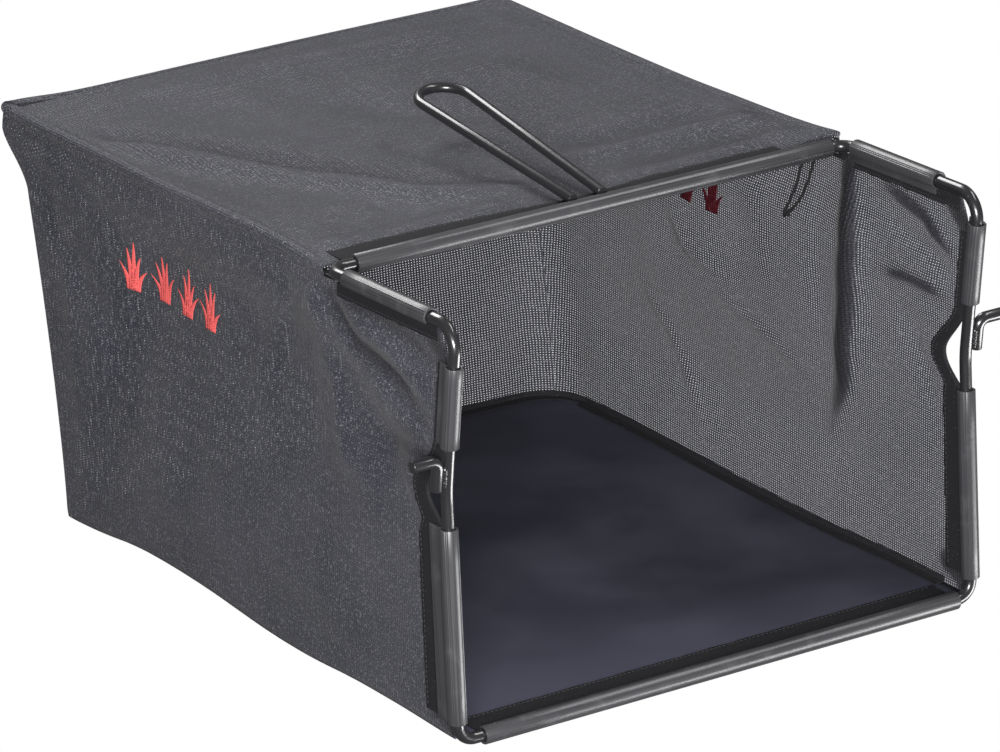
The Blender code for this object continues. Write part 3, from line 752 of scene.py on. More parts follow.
FOOT = {s: Vector((sign * HALF_W, 0, BOTTOM_Z)) for s, sign in SIDES.items()}
SHOULDER = {s: Vector((sign * HALF_W, -MOUTH_LEAN, SHOULDER_Z)) for s, sign in SIDES.items()}
TOP = {s: Vector((sign * HALF_W, TOP_BAR_Y, TOP_BAR_Z)) for s, sign in SIDES.items()}
PIN_Z = BOTTOM_Z + PIN_HEIGHT
WAIST_Z = PIN_Z - PIN_DROP - WAIST_UNDER_PIN
WAIST = {s: Vector((sign * HALF_W, WAIST_SET_BACK, WAIST_Z)) for s, sign in SIDES.items()}
ARM_DIR = (TOP["left"] - SHOULDER["left"]).normalized()
LOWER_DIR = (WAIST["left"] - FOOT["left"]).normalized()
UPPER_DIR = (SHOULDER["left"] - WAIST["left"]).normalized()
X_AXIS = Vector((1, 0, 0))
BACK = Vector((0, 1, 0))
UP = Vector((0, 0, 1))
DOWN = Vector((0, 0, -1))
LOWER_REAR = Vector((0, LOWER_DIR.z, -LOWER_DIR.y))
UPPER_REAR = Vector((0, UPPER_DIR.z, -UPPER_DIR.y))
ARM_DOWN = Vector((0, ARM_DIR.z, -ARM_DIR.y))
SHOULDER_REACH = SHOULDER_BEND / math.tan((-UPPER_DIR).angle(ARM_DIR) / 2)
ARM_RUN = (TOP["left"] - SHOULDER["left"]).length - TOP_BEND
UPPER_CLIP_Z = {
    s: (PIN_Z + PIN_D / 2 + CLIP_GAPS["upper_low"][s],
        SHOULDER_Z - (SHOULDER_REACH + CLIP_GAPS["upper_high"][s]) * UPPER_DIR.z)
    for s in SIDES
}
LOWER_CLIP_Z = {
    s: (BOTTOM_Z + (FOOT_BEND + gap) * LOWER_DIR.z,
        BOTTOM_Z + (FOOT_BEND + gap + LOWER_CLIP_LENGTH) * LOWER_DIR.z)
    for s, gap in CLIP_GAPS["lower"].items()
}
BAY_LOW_Z = LOWER_CLIP_Z["left"][1] - BAY_OVER_CLIPS
BAY_HIGH_Z = UPPER_CLIP_Z["left"][0] + BAY_OVER_CLIPS
UPPER_FOLD_END = SHOULDER_Z - FOLD_START - TAPE_W - 2.0


def upright_y(z):
    """The uprights lean back up to their waists and forward from there."""
    return np.interp(z, (BOTTOM_Z, WAIST_Z, SHOULDER_Z), (0.0, WAIST_SET_BACK, -MOUTH_LEAN))


def on_upright(side, z):
    return Vector((SIDES[side] * HALF_W, float(upright_y(z)), z))


def bay(z):
    """How far the bag's front edge steps back around the hanging pins."""
    share = np.clip((z - BAY_LOW_Z) / (BAY_HIGH_Z - BAY_LOW_Z), 0.0, 1.0)
    return BAY_DEPTH * (1 - np.cos(2 * np.pi * share ** BAY_SKEW)) / 2


def arm_z(y):
    return SHOULDER_Z + (TOP_BAR_Z - SHOULDER_Z) * (y + MOUTH_LEAN) / (TOP_BAR_Y + MOUTH_LEAN)


def roof_z(y):
    return TOP_BAR_Z + (REAR_TOP_Z - TOP_BAR_Z) * (y - TOP_BAR_Y) / (REAR_TOP_Y - TOP_BAR_Y)


def rear_y(z):
    share = np.clip(z / (HEM_STEP_START * REAR_TOP_Z), 0.0, 1.0)
    step = ease(z, HEM_STEP_START * REAR_TOP_Z, HEM_STEP_END * REAR_TOP_Z)
    return BAG_DEPTH + REAR_LEAN * share ** 1.4 + HEM_STEP * step


def front_y(z):
    """The side cloth's front edge, which cuts across the bend of the shoulder."""
    edge = upright_y(z) + CLOTH_START + bay(z)
    corner = SHOULDER_BEND - MOUTH_LEAN + 1.0
    top = arm_z(corner) - CLOTH_START
    share = np.clip((z - UPPER_FOLD_END) / (top - UPPER_FOLD_END), 0.0, 1.0)
    return edge + (corner - edge) * share


def floor_z(y):
    start = FOLD_START + TAPE_W + 4.0
    return BOTTOM_Z + (FLOOR_LOW_Z - BOTTOM_Z) * ease(y, start, start + FLOOR_SLOPE)


# A fold's last value paints shade along it, from 0 to 1, where its crease is shaded
Fold = namedtuple("Fold", "line half rise ends dark", defaults=((0.3, 0.3), 0.0))


def fold_lines(x, y, folds):
    """Height of soft crests (and hollows) that follow lines of places."""
    x, y = np.broadcast_arrays(x, y)
    total = np.zeros_like(x)
    for fold in folds:
        points = np.array(fold.line, float)
        lengths = path_lengths(points)
        nearest = np.full_like(x, 1e9)
        along = np.zeros_like(x)
        for k in range(len(points) - 1):
            step = points[k + 1] - points[k]
            size = float(step @ step)
            share = np.clip(((x - points[k][0]) * step[0] + (y - points[k][1]) * step[1]) / size, 0.0, 1.0)
            off = np.hypot(x - points[k][0] - step[0] * share, y - points[k][1] - step[1] * share)
            closer = off < nearest
            nearest = np.where(closer, off, nearest)
            along = np.where(closer, (lengths[k] + share * math.sqrt(size)) / lengths[-1], along)
        first, last = fold.ends
        fade_in = first + (1 - first) * ease(along, 0.0, 0.3)
        fade_out = last + (1 - last) * (1 - ease(along, 0.7, 1.0))
        total += fold.rise * np.exp(-(nearest / fold.half) ** 2) * (fade_in * fade_out)
    return total


Pull = namedtuple("Pull", "start end half depth")

# Their ends are shares of the top bar's set-back and of the shoulder's height
WALL_FOLDS = {
    "left": (
        Pull((0.92, 0.89), (0.26, 0.83), 9.0, 3.0),
        Pull((0.88, 0.86), (0.25, 0.745), 8.0, -3.0),
        Pull((0.95, 0.84), (0.24, 0.66), 12.0, 3.5),
        Pull((0.80, 0.75), (0.30, 0.50), 16.0, -2.5),
        Pull((1.12, 0.86), (0.62, 0.36), 26.0, 4.0),
        Pull((2.35, 0.86), (2.90, 0.30), 30.0, -4.0),
        Pull((2.95, 0.80), (3.20, 0.16), 22.0, 3.0),
    ),
    "right": (
        Pull((1.15, 0.86), (1.12, 0.45), 12.0, 2.5),
        Pull((0.55, 0.66), (0.25, 0.48), 14.0, 3.0),
        Pull((1.60, 0.80), (2.60, 0.35), 34.0, -4.0),
    ),
}


def side_bulge(y, z):
    """Inward draw of a side wall, nothing along its bound and sewn edges."""
    front = front_y(z) + TAPE_W
    rear = rear_y(z) - SEAM_TAPE - 3.0
    along = ease(y, front, front + 150.0) * (1 - ease(y, rear - 160.0, rear))
    share = z / REAR_TOP_Z
    upward = ease(share, 0.33, 0.72) * (1 - ease(share, 0.78, FLAT_ABOVE / REAR_TOP_Z))
    lower = ease(z, SEAM_ZONE, 0.22 * REAR_TOP_Z) * (1 - ease(share, 0.22, 0.40))
    return SIDE_BULGE * along * (upward - lower / 3)


WALL_MARKS = {
    "left": (
        Fold(((169, 243), (156, 187), (136, 164), (91, 149)), 8.0, 2.4),
        Fold(((228, 196), (240, 180), (246, 160)), 9.0, 2.2),
        Fold(((462, 22), (429, 40), (384, 131)), 9.0, 3.4, ends=(1.0, 0.2)),
        Fold(((440, 22), (415, 60), (400, 100)), 10.0, -3.4, ends=(1.0, 0.2)),
        Fold(((401, 234), (412, 212), (420, 191)), 10.0, -2.8),
        Fold(((466, 205), (458, 136), (452, 80)), 8.0, 2.0),
        Fold(((122, 266), (98, 255), (62, 248), (35, 233)), 5.5, 4.2, ends=(0.9, 0.3)),
        Fold(((137, 265), (115, 238), (67, 228), (36, 214)), 5.5, -4.2, ends=(0.9, 0.3), dark=0.65),
        Fold(((120, 267), (89, 268), (50, 264), (24, 256)), 4.5, -3.0, ends=(0.9, 0.5), dark=0.6),
        Fold(((158, 258), (151, 220), (132, 179), (124, 158)), 9.0, 3.5, ends=(0.9, 0.3)),
        Fold(((189, 262), (199, 217), (214, 177)), 10.0, -3.4, ends=(0.9, 0.3)),
        Fold(((84, 179), (61, 190), (39, 193)), 9.0, -3.0, dark=0.3),
        Fold(((509, 240), (473, 201), (430, 171), (400, 138)), 11.0, -2.6),
        Fold(((505, 268), (458, 233), (408, 213)), 10.0, 2.4),
    ),
    "right": (
        Fold(
            ((138, 276), (127, 216), (131, 173), (138, 114), (156, 73)), 7.0, -7.0,
            ends=(0.8, 0.3), dark=1.0,
        ),
        Fold(((110, 262), (104, 200), (112, 140)), 12.0, 1.2),
        Fold(((95, 264), (53, 256), (26, 239)), 5.0, -3.5, ends=(0.6, 0.6), dark=0.7),
        Fold(((85, 240), (50, 234), (30, 222)), 6.0, 3.0, ends=(0.6, 0.6)),
        Fold(((100, 205), (71, 209), (47, 209), (26, 204)), 4.5, -3.0, dark=0.6),
        Fold(((281, 132), (230, 121), (179, 103)), 4.0, -2.2, dark=0.24),
        Fold(((376, 120), (340, 87), (305, 32)), 4.5, -2.2, dark=0.24),
        Fold(((330, 190), (300, 160), (262, 148)), 7.0, -2.2, dark=0.14),
        Fold(((240, 240), (225, 190), (228, 150)), 10.0, -2.5, dark=0.2),
    ),
}


def shade_of(folds, x, y):
    """Painted shade where cloth is pleated tightly, from 0 to 1."""
    total = 0.0
    for fold in folds:
        if fold.dark:
            shade = fold._replace(rise=1.3 * fold.dark, half=1.2 * fold.half)
            total = np.maximum(total, fold_lines(x, y, (shade,)))
    return np.minimum(total, 1.0)


# Painted shade in two front corners of each side wall, below the shoulder and at the foot
PAINTED_CORNER_SHADE = (
    Fold(((6, 248), (11, 262), (24, 273)), 9.0, 1.0, ends=(1.0, 1.0)),
    Fold(((4, 6), (10, 16), (26, 22)), 9.0, 1.0, ends=(1.0, 1.0)),
)


def painted_pleat_shade(side, y, z):
    """Painted shade of a side wall along its tight pleats and in two front corners, where the cloth is also
    closed so that no light comes through.
    """
    total = shade_of(WALL_MARKS[side], y, z)
    for corner in PAINTED_CORNER_SHADE:
        total = np.maximum(total, fold_lines(y, z, (corner,)))
    return total


NARROW_TAPE_Z = (196.0, 212.0)
FOLDS_END_Z = (255.0, 268.0)


def wall_folds(side, y, z):
    """How far the folds push a side wall outwards. They end at the tapes and at the sewn edges."""
    push = np.zeros_like(y)
    for pull in WALL_FOLDS[side]:
        y0, z0 = pull.start[0] * TOP_BAR_Y, pull.start[1] * SHOULDER_Z
        dy, dz = pull.end[0] * TOP_BAR_Y - y0, pull.end[1] * SHOULDER_Z - z0
        share = np.clip(((y - y0) * dy + (z - z0) * dz) / (dy * dy + dz * dz), 0.0, 1.0)
        off = np.hypot(y - y0 - dy * share, z - z0 - dz * share) / pull.half
        push += pull.depth * np.exp(-off * off) * (0.35 + 0.65 * np.sin(np.pi * share))
    push = push + fold_lines(y, z, WALL_MARKS[side])
    front = front_y(z) + TAPE_W - 11.0 * ease(z, *NARROW_TAPE_Z)
    rear = rear_y(z) - SEAM_TAPE - 3.0
    clear = ease(y, front, front + TAPE_W / 2) * (1 - ease(y, rear - TAPE_W, rear))
    clear = clear * ease(z, SEAM_ZONE - 4.0, SEAM_ZONE + TAPE_W)
    return push * clear * (1 - ease(z, *FOLDS_END_Z))


def ripple(y, z, seed, scale, depth):
    """Soft uneven waves of hand-made cloth."""
    flat = np.stack([np.ravel(y), np.ravel(z)], axis=1) / scale
    heights = [noise.noise(Vector((a + seed, b - seed, seed))) for a, b in flat]
    return np.array(heights).reshape(np.shape(y)) * depth


def side_out(side, y, z):
    """How far a side wall stands out from the plane of the uprights."""
    seed = 3.1 if side == "left" else 8.7
    loose = ease(y, front_y(z) + TAPE_W, front_y(z) + TAPE_W + 20.0)
    loose = loose * (1 - ease(y, rear_y(z) - 50.0, rear_y(z) - 6.0))
    loose = loose * ease(z, SEAM_ZONE, SEAM_ZONE + 25.0) * (1 - ease(z, FLAT_ABOVE - 12.0, FLAT_ABOVE))
    waves = ripple(y, z * 0.6, seed, 60.0, 2.4) + ripple(y, z, seed + 5, 22.0, 0.7)
    return wall_folds(side, y, z) - side_bulge(y, z) + waves * loose


# Rods

def bend(before, corner, after, radius, step=math.radians(5)):
    """Points of the arc that rounds one corner of a path."""
    first = (before - corner).normalized()
    last = (after - corner).normalized()
    half = first.angle(last) / 2
    reach = radius / math.tan(half)
    centre = corner + (first + last).normalized() * (radius / math.sin(half))
    start = corner + first * reach - centre
    turn = math.pi - 2 * half
    steps = max(4, math.ceil(turn / step))
    side = start.cross(corner + last * reach - centre).normalized().cross(start)
    return [
        centre + start * math.cos(turn * k / steps) + side * math.sin(turn * k / steps)
        for k in range(steps + 1)
    ]


def rounded_path(corners, radii):
    points = []
    count = len(corners)
    for k, corner in enumerate(corners):
        if radii[k] == 0:
            points.append(corner)
        else:
            points += bend(corners[k - 1], corner, corners[(k + 1) % count], radii[k])
    return points


def blunt_ends(obj, size):
    """Rounds the sharp rim at the flat ends of a rod."""
    builder = bmesh.new()
    builder.from_mesh(obj.data)
    rims = []
    for edge in builder.edges:
        if len(edge.link_faces) == 2 and any(len(face.verts) > 8 for face in edge.link_faces):
            rims.append(edge)
    bmesh.ops.bevel(
        builder, geom=rims, offset=size * MM, segments=3, profile=0.5, affect="EDGES",
        clamp_overlap=True,
    )
    builder.to_mesh(obj.data)
    builder.free()
    obj.data.shade_smooth()
    obj.data.set_sharp_from_angle(angle=math.radians(50))


def build_rods():
    left = [FOOT["left"], WAIST["left"], SHOULDER["left"], TOP["left"]]
    right = [TOP["right"], SHOULDER["right"], WAIST["right"], FOOT["right"]]
    bends = [FOOT_BEND, WAIST_BEND, SHOULDER_BEND, TOP_BEND]
    line = rounded_path(left + right, bends + bends[::-1])
    obj = grow("frame_rod", ROD_TREE, [line], closed=True, Radius=ROD_R * MM, Sides=32, Finish=PAINT)
    finish_piece(obj, "painted_rod", "front_frame")
    for side, sign in SIDES.items():
        corner = on_upright(side, PIN_Z) + X_AXIS * sign * (ROD_R + 0.3 + PIN_D / 2)
        foot = corner - UPPER_DIR * PIN_DROP
        end = corner + X_AXIS * sign * PIN_REACH
        line = rounded_path([foot, corner, end], [0, PIN_BEND, 0])
        obj = grow(
            f"hook_pin_rod_{side}", ROD_TREE, [line], Radius=PIN_D / 2 * MM, Sides=32, Finish=PAINT,
        )
        blunt_ends(obj, 0.5)
        finish_piece(obj, "painted_rod", f"hook_pin_{side}")
    obj = grow("lifting_loop", ROD_TREE, [loop_line()], Radius=LOOP_D / 2 * MM, Sides=28, Finish=PAINT)
    blunt_ends(obj, 0.4)
    finish_piece(obj, "painted_rod", "handle_loop")


def loop_line():
    root_z = TOP_BAR_Z + LEAF_IN + LOOP_D / 2 + 0.2
    root_y = TOP_BAR_Y + ROD_R + 0.5
    half_root = LOOP_ROOT_SPACING / 2
    arc_y = root_y + LOOP_REACH - LOOP_END_RADIUS
    spread = math.atan2(LOOP_END_RADIUS - half_root, arc_y - root_y)
    flat = [(-half_root, root_y)]
    steps = 36
    for k in range(steps + 1):
        angle = math.pi + spread - (math.pi + 2 * spread) * k / steps
        flat.append((LOOP_END_RADIUS * math.cos(angle), arc_y + LOOP_END_RADIUS * math.sin(angle)))
    flat.append((half_root, root_y))
    rise = LOOP_RISE / LOOP_REACH
    return [Vector((x, y, root_z + rise * (y - root_y))) for x, y in flat]


build_rods()


# Weld beads

def weld_bead(name, start, end, radius, ripples):
    """A lumpy seam of weld between two rods, painted over."""
    steps = ripples * 6
    line = [start.lerp(end, k / steps) for k in range(steps + 1)]
    rings = []
    sides = 16
    for k, (point, frame_sides) in enumerate(zip(line, path_frames(line))):
        wave = 0.82 + 0.18 * abs(math.sin(math.pi * k / 6 + 0.4))
        close = min(1.0, math.sqrt(max(0.02, min(k, steps - k) / 5)))

        def lumpy(angle, middle=point * 0.9, thick=radius * wave * close):
            return thick * (1 + 0.10 * noise.noise(middle + Vector((math.cos(angle), math.sin(angle), 0))))
        rings.append(round_ring(point, frame_sides, sides, lumpy))
    around = [2 * math.pi * radius * m / sides for m in range(sides)]
    obj = sweep(name, rings, around, path_lengths(line), PAINT, 60)
    return finish_piece(obj, "painted_rod")


def build_welds():
    for side, sign in SIDES.items():
        x = sign * (HALF_W + ROD_R + 0.2)
        for label, reach in (("front", -2.6), ("rear", 2.6)):
            low = PIN_Z - PIN_DROP + 1.0
            high = PIN_Z - 4.0
            start = Vector((x, float(upright_y(low)) + reach, low))
            end = Vector((x, float(upright_y(high)) + reach, high))
            weld_bead(f"pin_weld_{side}_{label}", start, end, 1.9, 5)
    for side, sign in SIDES.items():
        x = sign * LOOP_ROOT_SPACING / 2
        start = Vector((x - 3.2, TOP_BAR_Y + 2.6, TOP_BAR_Z + 3.4))
        end = Vector((x + 3.2, TOP_BAR_Y + 2.6, TOP_BAR_Z + 3.4))
        weld_bead(f"loop_weld_{side}", start, end, 1.9, 3)


build_welds()


# Push-on profiles

RIBS = (118.0, 128.0, 138.0, 222.0)
RIB_HEIGHT = 0.22
RIB_HALF = 2.6
ARM_LEAF = 9.0
UPPER_LEAF = 11.0


def polar(radius, angle):
    turn = math.radians(angle)
    return (radius * math.cos(turn), radius * math.sin(turn))


def clip_outline(leaf):
    """Section of a push-on profile about the rod axis, as (rear, side) pairs with rounded lips."""
    leaf_out = LEAF_IN + CLIP_WALL
    root_out = math.degrees(math.asin(leaf_out / CLIP_OUT))
    root_in = math.degrees(math.asin(LEAF_IN / CLIP_IN))
    tip = CLIP_WALL / 2
    outline = []
    for k in range(9):
        angle = -90 + 180 * k / 8
        x, y = polar(tip, angle)
        outline.append((leaf - tip + x, LEAF_IN + tip + y))
    steps = 120
    for k in range(steps + 1):
        angle = root_out + (CLIP_LIP_ANGLE - root_out) * k / steps
        rib = max(math.exp(-((angle - at) / RIB_HALF) ** 2) for at in RIBS)
        outline.append(polar(CLIP_OUT + RIB_HEIGHT * rib, angle))
    lip = polar((CLIP_IN + CLIP_OUT) / 2, CLIP_LIP_ANGLE)
    for k in range(1, 8):
        angle = CLIP_LIP_ANGLE + 180 * k / 8
        x, y = polar(tip * 1.15, angle)
        outline.append((lip[0] + x, lip[1] + y))
    for k in range(41):
        outline.append(polar(CLIP_IN, CLIP_LIP_ANGLE + (root_in - CLIP_LIP_ANGLE) * k / 40))
    return outline


def shrink(outline, size):
    """The outline drawn in by a small size, for a softened end."""
    points = np.array(outline)
    tangent = np.roll(points, -1, axis=0) - np.roll(points, 1, axis=0)
    tangent = tangent / np.linalg.norm(tangent, axis=1)[:, None]
    inward = np.stack([-tangent[:, 1], tangent[:, 0]], axis=1)
    return points + inward * size


def build_clip(name, start, end, rear, side, node, leaf=CLIP_LEAF):
    outline = np.array(clip_outline(leaf))
    long = (end - start).length
    soft = 0.35
    stations = [(0.0, soft), (soft * 0.4, soft * 0.3), (soft, 0.0)]
    stations += [(long * k / 6, 0.0) for k in range(1, 6)]
    stations += [(long - soft, 0.0), (long - soft * 0.4, soft * 0.3), (long, soft)]
    rings = []
    for reach, drawn in stations:
        centre = start.lerp(end, reach / long)
        ring = shrink(outline, drawn)
        rings.append([centre + rear * r + side * s for r, s in ring])
    around = path_lengths(outline)
    obj = sweep(name, rings, around, [reach for reach, _ in stations], PLASTIC, 30)
    finish_piece(obj, "grey_plastic", node)


def bar_ends(label, bend_radius, ends):
    return [
        ends[s] - X_AXIS * sign * (bend_radius + CLIP_GAPS[label][s]) for s, sign in SIDES.items()
    ]


def build_clips():
    build_clip("top_profile", *bar_ends("top", TOP_BEND, TOP), BACK, DOWN, "top_clip")
    build_clip("bottom_profile", *bar_ends("bottom", FOOT_BEND, FOOT), BACK, DOWN, "bottom_clip")
    for side, sign in SIDES.items():
        outward = X_AXIS * sign
        end = SHOULDER[side] + ARM_DIR * (ARM_RUN - CLIP_GAPS["arm"][side])
        start = end - ARM_DIR * ARM_CLIP_LENGTH[side]
        build_clip(f"arm_profile_{side}", start, end, ARM_DOWN, -outward, f"arm_clip_{side}", ARM_LEAF)
        start, end = [on_upright(side, z) for z in UPPER_CLIP_Z[side]]
        build_clip(
            f"upper_profile_{side}", start, end, UPPER_REAR, outward, f"upper_clip_{side}", UPPER_LEAF,
        )
        start, end = [on_upright(side, z) for z in LOWER_CLIP_Z[side]]
        build_clip(f"lower_profile_{side}", start, end, LOWER_REAR, outward, f"lower_clip_{side}")


build_clips()


# The bag: one lofted shell of mesh cloth, from the left mouth edge round the rear to the right

BEAD_R = 4.4
GROOVE = 1.0
WALL_ROWS = 72
FRONT_COLUMNS = 38
SIDE_COLUMNS = 78
CORNER_COLUMNS = 8
CORNER_ROUND = 34.0
FIRST_WALL_Z = 270.0
ROOF_SAG_Y = (168.0, 534.0)
REAR_COLUMNS = 92
EDGE_LIFT = {
    "left": (
        (30, 0.0), (124, 4.2), (190, 2.6), (228, 3.4), (296, 8.0),
        (345, 9.2), (388, 8.2), (428, 3.0), (470, 0.0),
    ),
    "right": ((30, 0.0), (130, 1.2), (260, 0.6), (360, 2.0), (470, 0.0)),
}
HEM_TOP = {
    "left": (
        (146, 279.6), (176, 282.4), (220, 283.6), (286, 280.8), (351, 278.3),
        (419, 277.7), (487, 276.2), (522, 275.6), (544, 278.8),
    ),
    "right": (
        (146, 287.4), (158, 286.2), (168, 285.4), (190, 283.6), (213, 282.3), (235, 281.4), (258, 280.6),
        (304, 278.3), (351, 277.4), (422, 276.5), (470, 276.2), (544, 275.8),
    ),
    "rear": ((-202, 279.0), (-194, 279.6), (-165, 277.0), (-141, 275.8), (0, 275.7), (202, 275.7)),
}


def smooth_points(value, points):
    """A soft curve through a few chosen (place, height) pairs."""
    places = [p for p, _ in points]
    heights = [h for _, h in points]
    value = np.asarray(value, float)
    total = np.zeros_like(value)
    for shift, weight in ((-16, 0.2), (-8, 0.25), (0, 0.1), (8, 0.25), (16, 0.2)):
        total = total + weight * np.interp(value + shift, places, heights)
    return total


def side_foot(side, y):
    """Height of the sewn lower edge of a side wall."""
    return floor_z(y) + smooth_points(y, EDGE_LIFT[side])


def rear_bow(x, z):
    """The rear wall bellies out between its corners, most near the floor."""
    across = 1 - (x / HALF_W) ** 2
    return across * (6.0 - 4.0 * ease(z, 60.0, 240.0)) - 1.5 * (1 - across)


def rear_corner_y(z):
    """Where the rear wall meets its rounded corners."""
    return rear_y(z) + rear_bow(HALF_W - 20.0, z)


def bead_radius(y):
    return BEAD_R * (0.5 + 0.5 * ease(y, TOP_FRONT_Y, TOP_FRONT_Y + 20.0))


def hem_top(edge, place):
    """Height of the rolled hem along one edge of the roof."""
    return smooth_points(place, HEM_TOP[edge])


def wall_top(side, y):
    radius = bead_radius(y)
    bead = hem_top(side, y) - 2 * radius - 1.2 * radius / BEAD_R
    arm = arm_z(y) - CLOTH_START
    return arm + (bead - arm) * ease(y, TOP_FRONT_Y - 1.0, TOP_FRONT_Y + 18.0)


def corner_radius(side, z):
    """The left rear corner is pulled sharp, and the right one hangs round below the hem."""
    if side == "left":
        return 3.2 + 1.5 * ease(z, 215.0, 262.0)
    return CORNER_ROUND + (6.0 - CORNER_ROUND) * ease(z, 175.0, 255.0)


def side_wall(side):
    """Places and UVs of one side wall with half of its rear corner, bottom row first.

    The heights and the leaning edges depend on each other, so they are settled in three rounds.
    """
    sign = SIDES[side]
    rows = np.linspace(0.0, 1.0, WALL_ROWS + 1)[:, None]
    front = np.linspace(0.0, 1.0, FRONT_COLUMNS + 1)[None, :]
    back = np.linspace(0.0, 1.0, SIDE_COLUMNS + 1)[None, 1:]
    z = np.repeat(rows * FIRST_WALL_Z, FRONT_COLUMNS + 1 + SIDE_COLUMNS, axis=1)
    for _ in range(3):
        z_front = z[:, : FRONT_COLUMNS + 1]
        z_back = z[:, FRONT_COLUMNS + 1:]
        y_front = front_y(z_front) + (TOP_FRONT_Y - front_y(z_front)) * front
        rear_end = rear_corner_y(z_back) - corner_radius(side, z_back)
        y_back = TOP_FRONT_Y + (rear_end - TOP_FRONT_Y) * back
        y = np.concatenate([y_front, y_back], axis=1)
        low = side_foot(side, y) - CLOTH_T / 2
        z = low + (wall_top(side, y) - low) * rows
    out = side_out(side, y, z)
    top_draw = ease(y, TOP_FRONT_Y - 4.0, TOP_FRONT_Y + 26.0)
    out = out - GROOVE * np.exp(-((wall_top(side, y) - z) / 5.0) ** 2) * top_draw
    out = out - 0.7 * np.exp(-((z - side_foot(side, y)) / 3.0) ** 2)
    x = sign * (HALF_W + out)
    points = np.stack([x, y, z], axis=2)
    corner = corner_strip(side, z[:, -1], out[:, -1], first_half=True)
    points = np.concatenate([points, corner[:, 1:]], axis=1)
    steps = np.linalg.norm(np.diff(corner, axis=1)[:, :, :2], axis=2)
    reach = y[:, -1:] + np.cumsum(steps, axis=1)
    uv_y = np.concatenate([y, reach], axis=1)
    uv_z = np.concatenate([z, np.repeat(z[:, -1:], reach.shape[1], axis=1)], axis=1)
    return points, np.stack([uv_y, uv_z], axis=2)


def corner_strip(side, z, out, first_half):
    """Half of the turn from a side wall into the rear wall, which is split at its sewn seam."""
    sign = SIDES[side]
    radius = corner_radius(side, z)
    x_edge = HALF_W + out
    rear = rear_corner_y(z)
    angles = np.linspace(0.0, math.pi / 4, CORNER_COLUMNS + 1)
    if not first_half:
        angles = angles + math.pi / 4
    pushed = 1.0 + 2.0 * ease(z, 236.0, 262.0) if side == "left" else 0.0
    columns = []
    for angle in angles:
        seam = pushed * np.exp(-((angle - math.pi / 4) / 0.25) ** 2)
        x = x_edge - radius + (radius + seam) * math.cos(angle)
        y = rear - radius + (radius + seam) * math.sin(angle)
        columns.append(np.stack([sign * x, y, z], axis=1))
    return np.stack(columns, axis=1)


def rear_wall(left_edge, right_edge):
    """Places and UVs of the rear wall between the two corner seams."""
    z_left, out_left = left_edge
    z_right, out_right = right_edge
    left = corner_strip("left", z_left, out_left, first_half=False)
    right = corner_strip("right", z_right, out_right, first_half=False)[:, ::-1]
    share = np.linspace(0.0, 1.0, REAR_COLUMNS + 1)[None, 1:-1]
    x = left[:, -1:, 0] + (right[:, :1, 0] - left[:, -1:, 0]) * share
    z = z_left[:, None] + (z_right - z_left)[:, None] * share
    sag = 1 - (2 * share - 1) ** 2
    tall = np.linspace(0.0, 1.0, WALL_ROWS + 1)[:, None]
    z = z + (REAR_FOOT_Z - z[0]) * (1 - tall) * sag ** 0.2
    z = z + (hem_top("rear", x[-1:]) - 2.0 * BEAD_R - 1.2 - z[-1:]) * tall ** 2
    ease_in = ease(share, 0.0, 0.12) * (1 - ease(share, 0.88, 1.0))
    bow = rear_bow(x, z) - rear_bow(HALF_W - 20.0, z)
    quiet = ease(tall, 0.0, 0.12) * (1 - ease(tall, 0.80, 0.95))
    waves = ripple(x, z, 21.3, 70.0, 3.4) + ripple(x, z * 0.7, 27.9, 26.0, 0.8)
    y = rear_corner_y(z) + bow * ease_in + waves * quiet * ease_in
    y = y - GROOVE * np.exp(-((z[-1:] - z) / 5.0) ** 2) * ease_in
    middle = np.stack([x, y, z], axis=2)
    points = np.concatenate([left, middle, right], axis=1)
    flat = np.linalg.norm(np.diff(points, axis=1)[:, :, :2], axis=2)
    along = np.concatenate([np.zeros((len(flat), 1)), np.cumsum(flat, axis=1)], axis=1)
    along = along - along[:, -1:] / 2
    return points, np.stack([along, points[:, :, 2]], axis=2)


def bead_strip(rim, outward, radius, on_side, on_rear):
    """The rolled hem over the wire, from the groove under it to the groove on top."""
    scale = radius / BEAD_R
    profile = []
    for k in range(11):
        angle = math.radians(-48 + 180 * k / 10)
        profile.append((1.0 - math.cos(angle), -0.93 + math.sin(angle), 0.0))
    profile.append((2.0, -0.2, 1.2))
    rows = []
    for inward, height, beyond in profile:
        reach = inward * radius + beyond * scale
        place = rim - outward * reach[:, None]
        place[:, 2] = rim[:, 2] + height * radius
        deepest = rim[:, 1].max() - reach
        widest = np.where(rim[:, 0] < 0, -rim[:, 0].min(), rim[:, 0].max())
        place[:, 1] = np.where(on_side, np.minimum(place[:, 1], deepest), place[:, 1])
        across = np.minimum(np.abs(place[:, 0]), widest - reach)
        place[:, 0] = np.where(on_rear, np.sign(place[:, 0]) * across, place[:, 0])
        rows.append(place)
    return np.stack(rows, axis=0)


